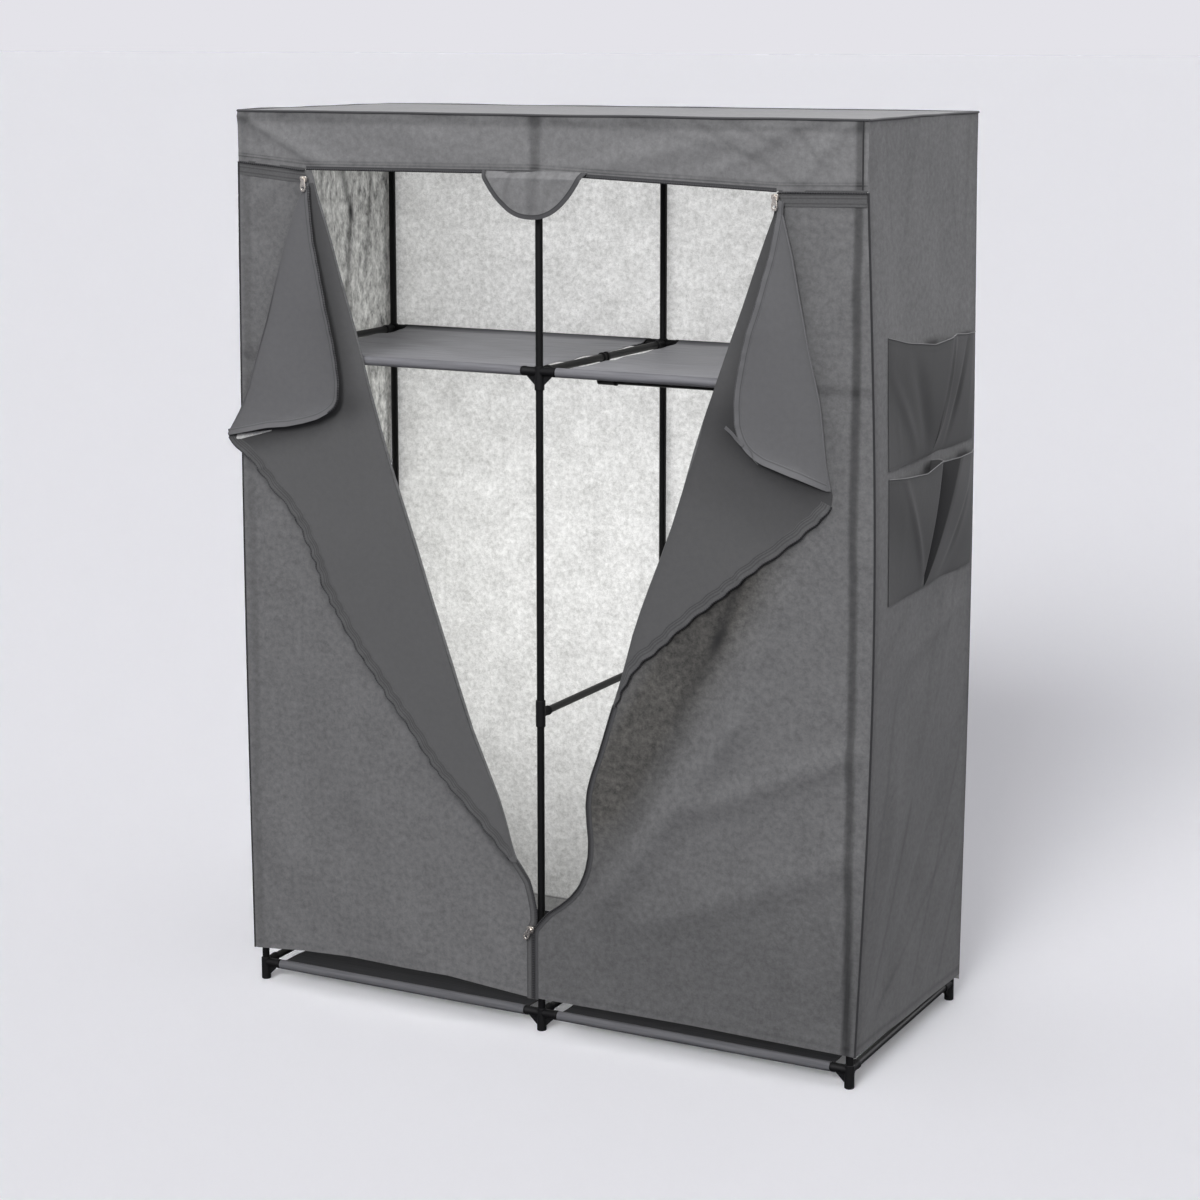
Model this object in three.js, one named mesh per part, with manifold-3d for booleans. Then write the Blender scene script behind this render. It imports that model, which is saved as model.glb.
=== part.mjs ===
// Portable fabric wardrobe: a steel tube frame with plastic connectors, four cloth shelves, a
// hanging rail, and a zipped cloth cover whose two doors are folded back over the front.
// Millimetres, +Z up, +Y to the back. The frame is drawn with x = 0 and y = 0 at its front
// centre upright, and the whole is then moved so that the origin is the middle of its footprint.
import * as THREE from 'three'
import { mergeVertices } from 'three/addons/utils/BufferGeometryUtils.js'
import Module from 'manifold-3d'

const wasm = await Module()
wasm.setup()

// Overall sizes
const height = 1600 // floor to the top of the roof
const frameWidth = 1166 // between the centre lines of the end uprights
const frameDepth = 476 // between the front and rear uprights' centre lines
const baseLevel = 32 // centre lines of the bottom tubes
const middleLevel = 573 // the middle brace
const shelfLevel = 1168 // the upper shelves
const endX = frameWidth / 2

// Tubes and the gap that touching pieces keep
const tubeRadius = 6.5
const tubeWall = 0.8
const fitGap = 0.3
const overrun = 5 // how far a cutting tool passes the face that it cuts
const roundSides = 12
const curveSides = 8
const boreRadius = tubeRadius + fitGap

// Connectors: a stem round the upright, arms for the level tubes, and webs between them
const stemRadius = 8.5
const stemRise = 9 // above the arms' centre line
const armRadius = 7.7
const armLength = 32
const collarRadius = 8.4
const collarLength = 6
const socketFloor = 4 // closed foot under each upright
const webThickness = 3
const webDrop = 24
const webReach = 26
const braceSleeve = 47 // height of the middle brace's sleeves
const braceArm = 28
const tubeStart = stemRadius + fitGap * 2 // where a level tube ends, from the upright's centre line

// Cloth
const cloth = 1.5
const coverSlack = 4 // from the connectors to the cover
const shelfCloth = 2
const shelfInset = 33.5 // from an upright's centre line to a shelf's side edge
const sleeveRadius = boreRadius + cloth
const coverInnerX = endX + stemRadius + coverSlack
const coverOuterX = coverInnerX + cloth
const coverInnerY = stemRadius + coverSlack // in front of the front uprights and behind the rear
const coverOuterY = coverInnerY + cloth
const frontFace = -coverOuterY
const topLevel = height - cloth - fitGap - stemRadius // centre line of the top rails

// The cover's lower edge and its header band
const frontHem = 62
const sideHemRear = 47
const backHem = 57
const headerDepth = 98 // at the middle, from the roof down to the zip
const headerLiftLeft = 10 // the left end's height over the middle
const headerDropRight = 16
const zipGap = 2.4 // between the header and the cloth that is zipped to it
const zipLine = height - headerDepth

// The doors. Each is folded back on a line from its header slider down to the door zip.
const doorZipX = -8 // the door zip's place, left of the centre upright
const zipFoot = 188 // the door zip's slider
const leftSliderX = -454
const leftSliderDrop = 19 // below the zip line
const rightSliderX = 442
const rightSliderDrop = 26
const foldGap = 0.3 // between folded layers
const topTrim = 16 // of the pointed cloth ends, under the sliders
const footTrim = 24
const leftFlapEdge = 513 // from the header slider to the flap's outer corner
const leftFlapAngle = 39.3 // degrees, between the fold line and that edge
const leftCornerEdge = 445
const leftCornerAngle = 32
const rightFlapEdge = 489
const rightFlapAngle = 32
const rightCornerEdge = 430
const rightCornerAngle = 28.5
const rightFlapFoot = 617 // height at which the right flap runs out on its fold line
const gatherAngle = 10.4 // how far the gathered cloth of the right front swings to close
const gatherWidth = 190
const cornerBlunt = 22 // how much of the turned-back corner is rounded off

// The storm flap over the middle of the header zip
const stormHalfWidth = 100
const stormDepth = 80
const stormSeamRise = 4.5 // its seam's height over the zip line
const stormStandOff = 5.2 // of its middle, in front of its seam
const stormStandDrop = 9.5
const stormSeamGap = 0.6
const stormShoulderShare = 0.9 // how square its lower corners are

// Zip sliders
const sliderLength = 12
const sliderWidth = 9
const sliderHeight = 3.7
const sliderShoulderShare = 0.4 // of half its length, where it's widest
const sliderTailShare = 0.7 // of its width
const sliderNoseShare = 0.6
const pullLength = 22
const pullWidth = 9
const pullNeck = 5
const pullThickness = 1.2
const pullHole = 2.2
const pullPost = 3
const pullNeckShare = 0.2 // of its length, from its top
const pullEyeShare = 0.62
const bottomPullTilt = 24 // degrees that the door zip's pull hangs to the left

// Hanging rail under the right upper shelf
const railDrop = 41 // below the shelf tubes
const hookRing = 8.9
const hookWidth = 20
const hookSlot = 8
const hookWeb = 6
const hookSocket = 27
const hookSocketBack = 11
const hookSocketRadius = 8.5
const hookFloor = 3

// Pockets on the right side
const pocketFront = 54 // from the front uprights to the first pocket's edge
const pocketWidth = 210
const pocketHeight = 205
const pocketFoot = 798 // the lower row's bottom
const pocketRowStep = 222
const pocketBulge = 24
const pocketCloth = 1.6
const pocketHem = 8
const pocketOpenShare = 1.1 // the hollow's height over the pocket's, so that it's open at the top
const swellPowers = [0.7, 0.6] // how soon the bulge is full, across and upwards
const pocketGrid = [8, 6]

const steel = { color: 0x17181a, roughness: 0.35, metalness: 0.7 }
const plastic = { color: 0x141416, roughness: 0.5, metalness: 0 }
const nonWoven = { color: 0x6a6a6c, roughness: 0.9, metalness: 0 }
const paleNonWoven = { color: 0xdcdcdc, roughness: 0.9, metalness: 0 }
const shelfFabric = { color: 0x8a8a8a, roughness: 0.7, metalness: 0 }
const nickel = { color: 0xd8ccc0, roughness: 0.3, metalness: 1 }

const wardrobe = new THREE.Group()

// A geometry's closed surface as a solid that can be joined and cut
function solid(geometry) {
  const bare = geometry.clone()
  bare.deleteAttribute('normal')
  bare.deleteAttribute('uv')
  const merged = mergeVertices(bare)
  const vertProperties = new Float32Array(merged.attributes.position.array)
  const triVerts = new Uint32Array(merged.index.array)
  return new wasm.Manifold(new wasm.Mesh({ numProp: 3, vertProperties, triVerts }))
}

function joined(solids) {
  return solids.reduce((whole, next) => whole.add(next))
}

function without(body, cuts) {
  return cuts.reduce((whole, cut) => whole.subtract(cut), body)
}

function addPiece(name, body, look) {
  const mesh = body.getMesh()
  const geometry = new THREE.BufferGeometry()
  geometry.setAttribute('position', new THREE.BufferAttribute(mesh.vertProperties, 3))
  geometry.setIndex(new THREE.BufferAttribute(mesh.triVerts, 1))
  geometry.computeVertexNormals()
  const piece = new THREE.Mesh(geometry, new THREE.MeshStandardMaterial(look))
  piece.name = name
  wardrobe.add(piece)
}

// A round bar along an axis, from start to end, through the point at
function bar(axis, radius, start, end, at) {
  const geometry = new THREE.CylinderGeometry(radius, radius, end - start, roundSides)
  if (axis === 'x') geometry.rotateZ(-Math.PI / 2)
  if (axis === 'z') geometry.rotateX(Math.PI / 2)
  const middle = { x: at[0], y: at[1], z: at[2] }
  middle[axis] += (start + end) / 2
  return solid(geometry.translate(middle.x, middle.y, middle.z))
}

function tube(axis, start, end, at) {
  const outer = bar(axis, tubeRadius, start, end, at)
  return outer.subtract(bar(axis, tubeRadius - tubeWall, start - overrun, end + overrun, at))
}

function block(low, high) {
  const size = high.map((value, i) => value - low[i])
  const middle = high.map((value, i) => (value + low[i]) / 2)
  return solid(new THREE.BoxGeometry(...size).translate(...middle))
}

function outlineShape(points) {
  return new THREE.Shape(points.map(([a, b]) => new THREE.Vector2(a, b)))
}

function extruded(shape, depth) {
  return new THREE.ExtrudeGeometry(shape, { depth, bevelEnabled: false, curveSegments: curveSides })
}

// A flat piece facing the front: its outline is in x and z, its back is at y
function frontSheet(shape, y, thickness) {
  return solid(extruded(shape, thickness).rotateX(Math.PI / 2).translate(0, y, 0))
}

// A piece of one section all along X: its outline is in y and z
function alongX(shape, start, end) {
  const turn = new THREE.Matrix4().makeBasis(
    new THREE.Vector3(0, 1, 0), new THREE.Vector3(0, 0, 1), new THREE.Vector3(1, 0, 0))
  return solid(extruded(shape, end - start).applyMatrix4(turn).translate(start, 0, 0))
}

// A convex outline with each side moved in by a gap, so that neighbours stay apart
function inset(points, gap) {
  const area = points.reduce((sum, [a, b], i) => {
    const [c, d] = points[(i + 1) % points.length]
    return sum + a * d - c * b
  }, 0)
  const sides = points.map(([a, b], i) => {
    const [c, d] = points[(i + 1) % points.length]
    const length = Math.hypot(c - a, d - b) * Math.sign(area)
    const normal = [-(d - b) / length, (c - a) / length]
    return { normal, reach: normal[0] * a + normal[1] * b + gap }
  })
  return sides.map((side, i) => {
    const last = sides.at(i - 1)
    const [a, b] = last.normal
    const [c, d] = side.normal
    const cross = a * d - c * b
    return [(last.reach * d - side.reach * b) / cross, (side.reach * a - last.reach * c) / cross]
  })
}

function towards(from, to, distance) {
  const length = Math.hypot(to[0] - from[0], to[1] - from[1])
  return from.map((value, i) => value + (to[i] - value) * distance / length)
}

// A point turned about another in the front's plane, anticlockwise seen from the front
function turned(point, centre, degrees) {
  const angle = THREE.MathUtils.degToRad(degrees)
  const [a, b] = [point[0] - centre[0], point[1] - centre[1]]
  return [
    centre[0] + a * Math.cos(angle) - b * Math.sin(angle),
    centre[1] + a * Math.sin(angle) + b * Math.cos(angle)]
}

const columns = [['left', -endX], ['centre', 0], ['right', endX]]
const rows = [['front', 0, 1], ['rear', frameDepth, -1]] // name, y and the way to the middle

function addUprights() {
  const top = topLevel - boreRadius - fitGap * 2
  for (const [side, x] of columns) {
    for (const [row, y] of rows) {
      addPiece(`upright_${row}_${side}`, tube('z', socketFloor + fitGap, top, [x, y, 0]), steel)
    }
  }
}

// A triangular web under an arm, in the plane of the arm and the stem
function web(axis, way, x, y, z) {
  const near = (stemRadius - cloth) * way
  const shape = outlineShape([[near, z - webDrop], [webReach * way, z - armRadius / 2], [near, z]])
  if (axis === 'x') {
    return frontSheet(shape, webThickness / 2, webThickness).translate(x, y, 0)
  }
  return alongX(shape, -webThickness / 2, webThickness / 2).translate(x, y, 0)
}

function arm(axis, way, at, length) {
  const [start, end] = way > 0 ? [0, length] : [-length, 0]
  const collar = way > 0 ? [length - collarLength, length] : [-length, collarLength - length]
  return joined([bar(axis, armRadius, start, end, at), bar(axis, collarRadius, ...collar, at)])
}

function armBore(axis, way, at, length) {
  const [near, far] = [stemRadius + fitGap, length + overrun]
  return way > 0 ? bar(axis, boreRadius, near, far, at) : bar(axis, boreRadius, -far, -near, at)
}

function armWays(x, y) {
  const across = x < 0 ? [1] : x > 0 ? [-1] : [1, -1]
  return [...across.map((way) => ['x', way]), ['y', y > 0 ? -1 : 1]]
}

// A connector at one level: closed at the foot where it stands on the floor
function connector(x, y, level, isFoot) {
  const at = [x, y, level]
  const ways = armWays(x, y)
  const body = joined([
    bar('z', stemRadius, level - baseLevel, level + stemRise, [x, y, 0]),
    ...ways.map(([axis, way]) => arm(axis, way, at, armLength)),
    ...ways.map(([axis, way]) => web(axis, way, x, y, level))])
  const boreFoot = isFoot ? socketFloor : level - baseLevel - overrun
  return without(body, [
    bar('z', boreRadius, boreFoot, level + stemRise + overrun, [x, y, 0]),
    ...ways.map(([axis, way]) => armBore(axis, way, at, armLength))])
}

function addLevel(name, level, isFoot) {
  for (const [side, x] of columns) {
    for (const [row, y] of rows) {
      addPiece(`${name}_connector_${row}_${side}`, connector(x, y, level, isFoot), plastic)
    }
    const depthTube = tube('y', tubeStart, frameDepth - tubeStart, [x, 0, level])
    addPiece(`${name}_depth_tube_${side}`, depthTube, steel)
  }
  for (const [row, y] of rows) {
    const left = tube('x', tubeStart - endX, -tubeStart, [0, y, level])
    addPiece(`${name}_tube_${row}_left`, left, steel)
    addPiece(`${name}_tube_${row}_right`, tube('x', tubeStart, endX - tubeStart, [0, y, level]), steel)
  }
}

// The brace half way up: a tube with a sleeve on each centre upright
function addMiddleBrace() {
  const at = [0, 0, middleLevel]
  const half = braceSleeve / 2
  const sleeves = rows.flatMap(([, y, way]) => [
    bar('z', stemRadius, middleLevel - half, middleLevel + half, [0, y, 0]),
    arm('y', way, [0, y, middleLevel], braceArm)])
  const bores = rows.map(([, y]) =>
    bar('z', boreRadius, middleLevel - half - overrun, middleLevel + half + overrun, [0, y, 0]))
  const body = joined([...sleeves, bar('y', tubeRadius, 0, frameDepth, at)])
  const hollow = bar('y', tubeRadius - tubeWall, 0, frameDepth, at)
  addPiece('middle_brace', without(body, [...bores, hollow]), steel)
}

// A top rail: one long tube with its three sockets and the end sockets' arms
function topRail(y, way) {
  const at = [0, y, topLevel]
  const reach = endX + stemRadius
  const parts = [bar('x', tubeRadius, -reach, reach, at)]
  const cuts = [bar('x', tubeRadius - tubeWall, -reach - overrun, reach + overrun, at)]
  for (const [, x] of columns) {
    parts.push(bar('z', stemRadius, topLevel - baseLevel, topLevel, [x, y, 0]))
    cuts.push(bar('z', boreRadius, topLevel - baseLevel - overrun, topLevel - boreRadius, [x, y, 0]))
    if (x !== 0) {
      parts.push(arm('y', way, [x, y, topLevel], armLength))
      cuts.push(armBore('y', way, [x, y, topLevel], armLength))
    }
  }
  return without(joined(parts), cuts)
}

function addTop() {
  for (const [row, y, way] of rows) addPiece(`top_rail_${row}`, topRail(y, way), steel)
  for (const [side, x] of [columns[0], columns[2]]) {
    const depthTube = tube('y', tubeStart, frameDepth - tubeStart, [x, 0, topLevel])
    addPiece(`top_depth_tube_${side}`, depthTube, steel)
  }
}

// A cloth shelf with a sleeve round its front and its rear tube
function addShelf(name, start, end, level) {
  const at = [0, 0, level]
  const rear = [0, frameDepth, level]
  const inner = sleeveRadius - cloth / 2
  const body = joined([
    bar('x', sleeveRadius, start, end, at),
    bar('x', sleeveRadius, start, end, rear),
    block([start, inner, level - shelfCloth / 2], [end, frameDepth - inner, level + shelfCloth / 2])])
  const bores = [at, rear].map((place) =>
    bar('x', boreRadius, start - overrun, end + overrun, place))
  addPiece(name, without(body, bores), shelfFabric)
}

function addShelves() {
  for (const [name, level] of [['lower', baseLevel], ['upper', shelfLevel]]) {
    addShelf(`${name}_shelf_left`, shelfInset - endX, -shelfInset, level)
    addShelf(`${name}_shelf_right`, shelfInset, endX - shelfInset, level)
  }
}

// The rail's hook: rings on a depth tube, a web down, and a socket for the rail
function railHook(x, way) {
  const y = frameDepth / 2
  const [low, high] = [y - hookWidth / 2, y + hookWidth / 2]
  const socketLevel = shelfLevel - railDrop
  const [start, end] = way > 0 ? [-hookSocketBack, hookSocket] : [-hookSocket, hookSocketBack]
  const [boreStart, boreEnd] = way > 0
    ? [hookFloor - hookSocketBack, hookSocket + overrun]
    : [-hookSocket - overrun, hookSocketBack - hookFloor]
  const body = joined([
    bar('y', hookRing, low, high, [x, 0, shelfLevel]),
    block([x - hookWeb / 2, low, socketLevel], [x + hookWeb / 2, high, shelfLevel - tubeRadius]),
    bar('x', hookSocketRadius, start, end, [x, y, socketLevel])])
  const slot = block(
    [x - hookRing - overrun, y - hookSlot / 2, shelfLevel - tubeRadius],
    [x + hookRing + overrun, y + hookSlot / 2, shelfLevel + hookRing + overrun])
  return without(body, [
    slot,
    bar('y', boreRadius, low - overrun, high + overrun, [x, 0, shelfLevel]),
    bar('x', boreRadius, boreStart, boreEnd, [x, y, socketLevel])])
}

function addHangingRail() {
  const end = hookSocketBack - hookFloor - fitGap
  const rail = tube('x', -end, endX + end, [0, frameDepth / 2, shelfLevel - railDrop])
  addPiece('hanging_rail', rail, steel)
  addPiece('rail_hook_left', railHook(0, 1), plastic)
  addPiece('rail_hook_right', railHook(endX, -1), plastic)
}

// The header's lower edge, from left to right: it sags at the two sliders
const headerEdge = [
  [-coverInnerX, zipLine + headerLiftLeft],
  [leftSliderX, zipLine - leftSliderDrop + zipGap],
  [0, zipLine],
  [rightSliderX, zipLine - rightSliderDrop + zipGap],
  [coverInnerX, zipLine - headerDropRight]]

function addRoof() {
  const plate = block([-coverOuterX, -coverOuterY, height - cloth],
    [coverOuterX, frameDepth + coverOuterY, height])
  const top = height - cloth / 2
  const shape = outlineShape([...headerEdge, [coverOuterX, headerEdge[4][1]], [coverOuterX, top],
    [-coverOuterX, top], [-coverOuterX, headerEdge[0][1]]])
  addPiece('roof_and_header', plate.add(frontSheet(shape, -coverInnerY, cloth)), nonWoven)
}

function addSidesAndBack() {
  const top = height - cloth - fitGap
  const front = -coverInnerY + fitGap
  const rear = frameDepth + coverOuterY
  const side = outlineShape([[front, frontHem], [rear, sideHemRear], [rear, top], [front, top]])
  addPiece('side_panel_left', alongX(side, -coverOuterX, -coverInnerX), nonWoven)
  addPiece('side_panel_right', alongX(side, coverInnerX, coverOuterX), nonWoven)
  const reach = coverInnerX - fitGap
  const back = outlineShape([[-reach, backHem], [reach, backHem], [reach, top], [-reach, top]])
  addPiece('back_panel', frontSheet(back, rear, cloth), paleNonWoven)
}

const doorFoot = [doorZipX, zipFoot]
const leftTop = [leftSliderX, zipLine - leftSliderDrop]
const rightTop = [rightSliderX, zipLine - rightSliderDrop]
const rightFlapEnd = towards(rightTop, doorFoot,
  (rightTop[1] - rightFlapFoot) * Math.hypot(rightTop[0] - doorZipX, rightTop[1] - zipFoot)
    / (rightTop[1] - zipFoot))
const leftFlapTip = turned(towards(leftTop, doorFoot, leftFlapEdge), leftTop, -leftFlapAngle)
const leftCornerTip = turned(towards(leftTop, leftFlapTip, leftCornerEdge), leftTop, leftCornerAngle)
const rightFlapTip = turned(towards(rightTop, doorFoot, rightFlapEdge), rightTop, rightFlapAngle)
const rightCornerTip = turned(towards(rightTop, rightFlapTip, rightCornerEdge), rightTop, -rightCornerAngle)

// The fixed cloth on each side of the opening, down to the hem and in to the door zip
function addFronts() {
  const left = [
    [-coverOuterX, frontHem], [doorZipX, frontHem], doorFoot, leftTop,
    [-coverOuterX, headerEdge[0][1] - zipGap]]
  const right = [
    [doorZipX, frontHem], [coverOuterX, frontHem], [coverOuterX, headerEdge[4][1] - zipGap],
    rightTop, doorFoot]
  for (const [name, outline] of [['left', left], ['right', right]]) {
    const shape = outlineShape(inset(outline, foldGap))
    addPiece(`front_panel_${name}`, frontSheet(shape, -coverInnerY, cloth), nonWoven)
  }
}

function folded(outline, layer) {
  const back = frontFace - foldGap - layer * (cloth + foldGap)
  return frontSheet(outlineShape(inset(outline, foldGap)), back, cloth)
}

// The two doors, laid back over the front, each with its top corner turned back in again
function addDoors() {
  const leftFlap = [
    towards(leftTop, doorFoot, topTrim), towards(doorFoot, leftTop, footTrim),
    towards(doorFoot, leftFlapTip, footTrim), leftFlapTip, towards(leftTop, leftFlapTip, topTrim)]
  addPiece('door_left_flap', folded(leftFlap, 0), nonWoven)
  const leftCorner = [
    towards(leftTop, leftFlapTip, topTrim), leftFlapTip,
    towards(leftCornerTip, leftFlapTip, cornerBlunt),
    towards(leftCornerTip, leftTop, cornerBlunt), towards(leftTop, leftCornerTip, topTrim)]
  addPiece('door_left_corner', folded(leftCorner, 1), nonWoven)
  const rightFlap = [
    towards(rightTop, doorFoot, topTrim), towards(rightFlapEnd, rightTop, footTrim),
    towards(rightFlapEnd, rightFlapTip, footTrim), rightFlapTip, towards(rightTop, rightFlapTip, topTrim)]
  addPiece('door_right_flap', folded(rightFlap, 0), nonWoven)
  const rightCorner = [
    towards(rightTop, rightFlapTip, topTrim), rightFlapTip,
    towards(rightCornerTip, rightFlapTip, cornerBlunt),
    towards(rightCornerTip, rightTop, cornerBlunt), towards(rightTop, rightCornerTip, topTrim)]
  addPiece('door_right_corner', folded(rightCorner, 1), nonWoven)
}

// Slack cloth gathered behind the right front, which swings out about the slider to close
function addGather() {
  const hiddenFoot = turned(doorFoot, rightTop, gatherAngle)
  const far = [hiddenFoot[0] + gatherWidth, hiddenFoot[1]]
  const outline = [towards(rightTop, rightFlapEnd, topTrim), rightFlapEnd, hiddenFoot, far,
    towards(rightTop, far, topTrim)]
  const shape = outlineShape(inset(outline, foldGap))
  addPiece('front_right_gather', frontSheet(shape, fitGap - coverInnerY + cloth, cloth), nonWoven)
}

// The half-round flap over the middle of the header zip, standing off it to clear the sliders
function addStormFlap() {
  const seam = zipLine + stormSeamRise
  const back = frontFace - stormSeamGap
  const turn = seam - stormStandDrop
  const foot = seam - stormDepth - cloth
  const section = outlineShape([
    [back, seam], [back - stormStandOff, turn], [back - stormStandOff, foot],
    [back - stormStandOff - cloth, foot], [back - stormStandOff - cloth, turn], [back - cloth, seam]])
  const shoulder = stormHalfWidth * stormShoulderShare
  const outline = new THREE.Shape()
  outline.moveTo(stormHalfWidth, seam + cloth)
  outline.lineTo(-stormHalfWidth, seam + cloth)
  outline.quadraticCurveTo(-shoulder, seam - stormDepth, 0, seam - stormDepth)
  outline.quadraticCurveTo(shoulder, seam - stormDepth, stormHalfWidth, seam + cloth)
  const reach = frontSheet(outline, frontFace, stormStandOff * 2 + cloth)
  const flap = alongX(section, -stormHalfWidth, stormHalfWidth).intersect(reach)
  addPiece('storm_flap', flap, nonWoven)
}

// A zip slider and its pull, which hangs from the slider's middle
function slider(at, isLevel, tilt) {
  const [half, wide] = [sliderLength / 2, sliderWidth / 2]
  const back = frontFace - foldGap
  const [shoulder, tail, nose] = [half * sliderShoulderShare, wide * sliderTailShare, wide * sliderNoseShare]
  const outline = [
    [-wide, shoulder], [-tail, -half], [tail, -half], [wide, shoulder], [nose, half], [-nose, half]]
  const body = outline.map((point) => turned(point, [0, 0], isLevel ? 90 : 0))
  const [neck, eye] = [-pullLength * pullNeckShare, -pullLength * pullEyeShare]
  const pull = outlineShape([
    [-pullNeck / 2, pullPost / 2], [-pullNeck / 2, neck], [-pullWidth / 2, eye], [0, -pullLength],
    [pullWidth / 2, eye], [pullNeck / 2, neck], [pullNeck / 2, pullPost / 2]])
  pull.holes.push(new THREE.Path().absarc(0, eye, pullHole, 0, Math.PI * 2))
  const front = back - sliderHeight
  const tab = frontSheet(pull, front - foldGap, pullThickness).rotate([0, tilt, 0])
  const post = block([-pullPost / 2, front - foldGap - pullThickness / 2, -pullPost / 2],
    [pullPost / 2, front + sliderHeight / 2, pullPost / 2])
  const whole = joined([frontSheet(outlineShape(body), back, sliderHeight), post, tab])
  return whole.translate(at[0], 0, at[1])
}

function addSliders() {
  addPiece('header_slider_left', slider(leftTop, true, 0), nickel)
  addPiece('header_slider_right', slider(rightTop, true, 0), nickel)
  addPiece('door_slider', slider(doorFoot, false, bottomPullTilt), nickel)
}

// Half a pillow on the side panel: its bulge grows from nothing at the sewn edges to full
function pillow(width, tall, bulge, y, z) {
  const [across, up] = pocketGrid
  const positions = []
  for (let j = 0; j <= up; j++) {
    for (let i = 0; i <= across; i++) {
      const swell = Math.sin(Math.PI * i / across) ** swellPowers[0]
        * Math.sin(Math.PI / 2 * j / up) ** swellPowers[1]
      positions.push(bulge * swell, width * i / across, tall * j / up)
    }
  }
  const front = positions.length / 3
  for (let j = 0; j <= up; j++) {
    for (let i = 0; i <= across; i++) positions.push(-pocketCloth, width * i / across, tall * j / up)
  }
  const index = []
  const quad = (a, b, c, d) => index.push(a, b, c, a, c, d)
  const rowLength = across + 1
  for (let j = 0; j < up; j++) {
    for (let i = 0; i < across; i++) {
      const a = j * rowLength + i
      quad(a, a + 1, a + 1 + rowLength, a + rowLength)
      quad(front + a + rowLength, front + a + 1 + rowLength, front + a + 1, front + a)
    }
    const left = j * rowLength
    quad(front + left, left, left + rowLength, front + left + rowLength)
    const right = left + across
    quad(right, front + right, front + right + rowLength, right + rowLength)
  }
  for (let i = 0; i < across; i++) {
    const top = up * rowLength + i
    quad(i, front + i, front + i + 1, i + 1)
    quad(front + top, top, top + 1, front + top + 1)
  }
  const geometry = new THREE.BufferGeometry()
  geometry.setAttribute('position', new THREE.Float32BufferAttribute(positions, 3))
  geometry.setIndex(index)
  return solid(geometry.translate(0, y, z))
}

function addPockets() {
  const back = coverOuterX + fitGap
  const [nearEdge, farEdge] = [pocketFront - pocketHem, pocketFront + pocketWidth * 2 + pocketHem]
  const top = pocketFoot + pocketRowStep + pocketHeight
  let body = block([back, nearEdge, pocketFoot - pocketHem], [back + pocketCloth, farEdge, top])
  const cuts = []
  for (const column of [0, 1]) {
    for (const row of [0, 1]) {
      const y = pocketFront + column * pocketWidth
      const z = pocketFoot + row * pocketRowStep
      const x = back + pocketCloth
      body = body.add(pillow(pocketWidth, pocketHeight, pocketBulge, y, z).translate(x, 0, 0))
      const inner = pillow(pocketWidth - pocketHem * 2, pocketHeight * pocketOpenShare,
        pocketBulge - pocketCloth, y + pocketHem, z + pocketHem)
      const keep = block([0, y, z], [pocketBulge, y + pocketWidth, z + pocketHeight + overrun])
      cuts.push(inner.intersect(keep).translate(x, 0, 0))
    }
  }
  addPiece('side_pockets', without(body, cuts), nonWoven)
}

addUprights()
addLevel('base', baseLevel, true)
addLevel('shelf', shelfLevel, false)
addMiddleBrace()
addTop()
addShelves()
addHangingRail()
addRoof()
addSidesAndBack()
addFronts()
addGather()
addDoors()
addStormFlap()
addSliders()
addPockets()

const footprint = new THREE.Box3().setFromObject(wardrobe).getCenter(new THREE.Vector3())
wardrobe.position.set(-footprint.x, -footprint.y, 0)

export default wardrobe
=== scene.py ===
# Portable fabric wardrobe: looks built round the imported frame.
# Pieces are worked out in millimetres from the foot of the front centre upright (x to the right,
# y to the back, z up) and put in place, in metres, when their mesh is made.
import math
import bpy
import numpy as np
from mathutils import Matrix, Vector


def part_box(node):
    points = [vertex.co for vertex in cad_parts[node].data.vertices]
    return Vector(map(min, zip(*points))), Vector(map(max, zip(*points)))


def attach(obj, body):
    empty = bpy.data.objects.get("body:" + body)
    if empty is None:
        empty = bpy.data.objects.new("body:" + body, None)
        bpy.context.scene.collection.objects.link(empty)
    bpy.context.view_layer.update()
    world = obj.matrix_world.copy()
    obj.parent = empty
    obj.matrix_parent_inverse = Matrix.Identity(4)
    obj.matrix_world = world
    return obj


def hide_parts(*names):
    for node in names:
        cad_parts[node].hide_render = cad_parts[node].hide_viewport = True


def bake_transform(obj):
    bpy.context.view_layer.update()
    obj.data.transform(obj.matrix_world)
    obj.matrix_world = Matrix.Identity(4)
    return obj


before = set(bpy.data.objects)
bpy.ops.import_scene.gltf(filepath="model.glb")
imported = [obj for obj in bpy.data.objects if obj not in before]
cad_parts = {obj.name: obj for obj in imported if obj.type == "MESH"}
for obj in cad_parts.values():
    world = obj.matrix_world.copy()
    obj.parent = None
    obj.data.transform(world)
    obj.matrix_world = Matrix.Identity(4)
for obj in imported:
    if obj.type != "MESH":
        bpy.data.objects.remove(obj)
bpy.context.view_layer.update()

# Centre lines of the frame and faces of the cover, in millimetres
wardrobe = {
    "halfWidth": 583, "depth": 476, "baseLevel": 32, "braceLevel": 573, "shelfLevel": 1168,
    "topLevel": 1589.7, "tube": 6.5, "coverX": 597, "coverFront": -14, "coverRear": 490, "roof": 1600,
}
low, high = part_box("upright_front_centre")
origin = np.array([(low[0] + high[0]) / 2, (low[1] + high[1]) / 2, 0.0])


def toWorld(x, y, z):
    return (x / 1000 + origin[0], y / 1000 + origin[1], z / 1000)


# A colour's linear red, green, blue and alpha from its sRGB hex value
def toLinear(hexColour):
    parts = [int(hexColour[i:i + 2], 16) / 255 for i in (1, 3, 5)]
    return [c / 12.92 if c <= 0.04045 else ((c + 0.055) / 1.055) ** 2.4 for c in parts] + [1.0]


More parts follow.
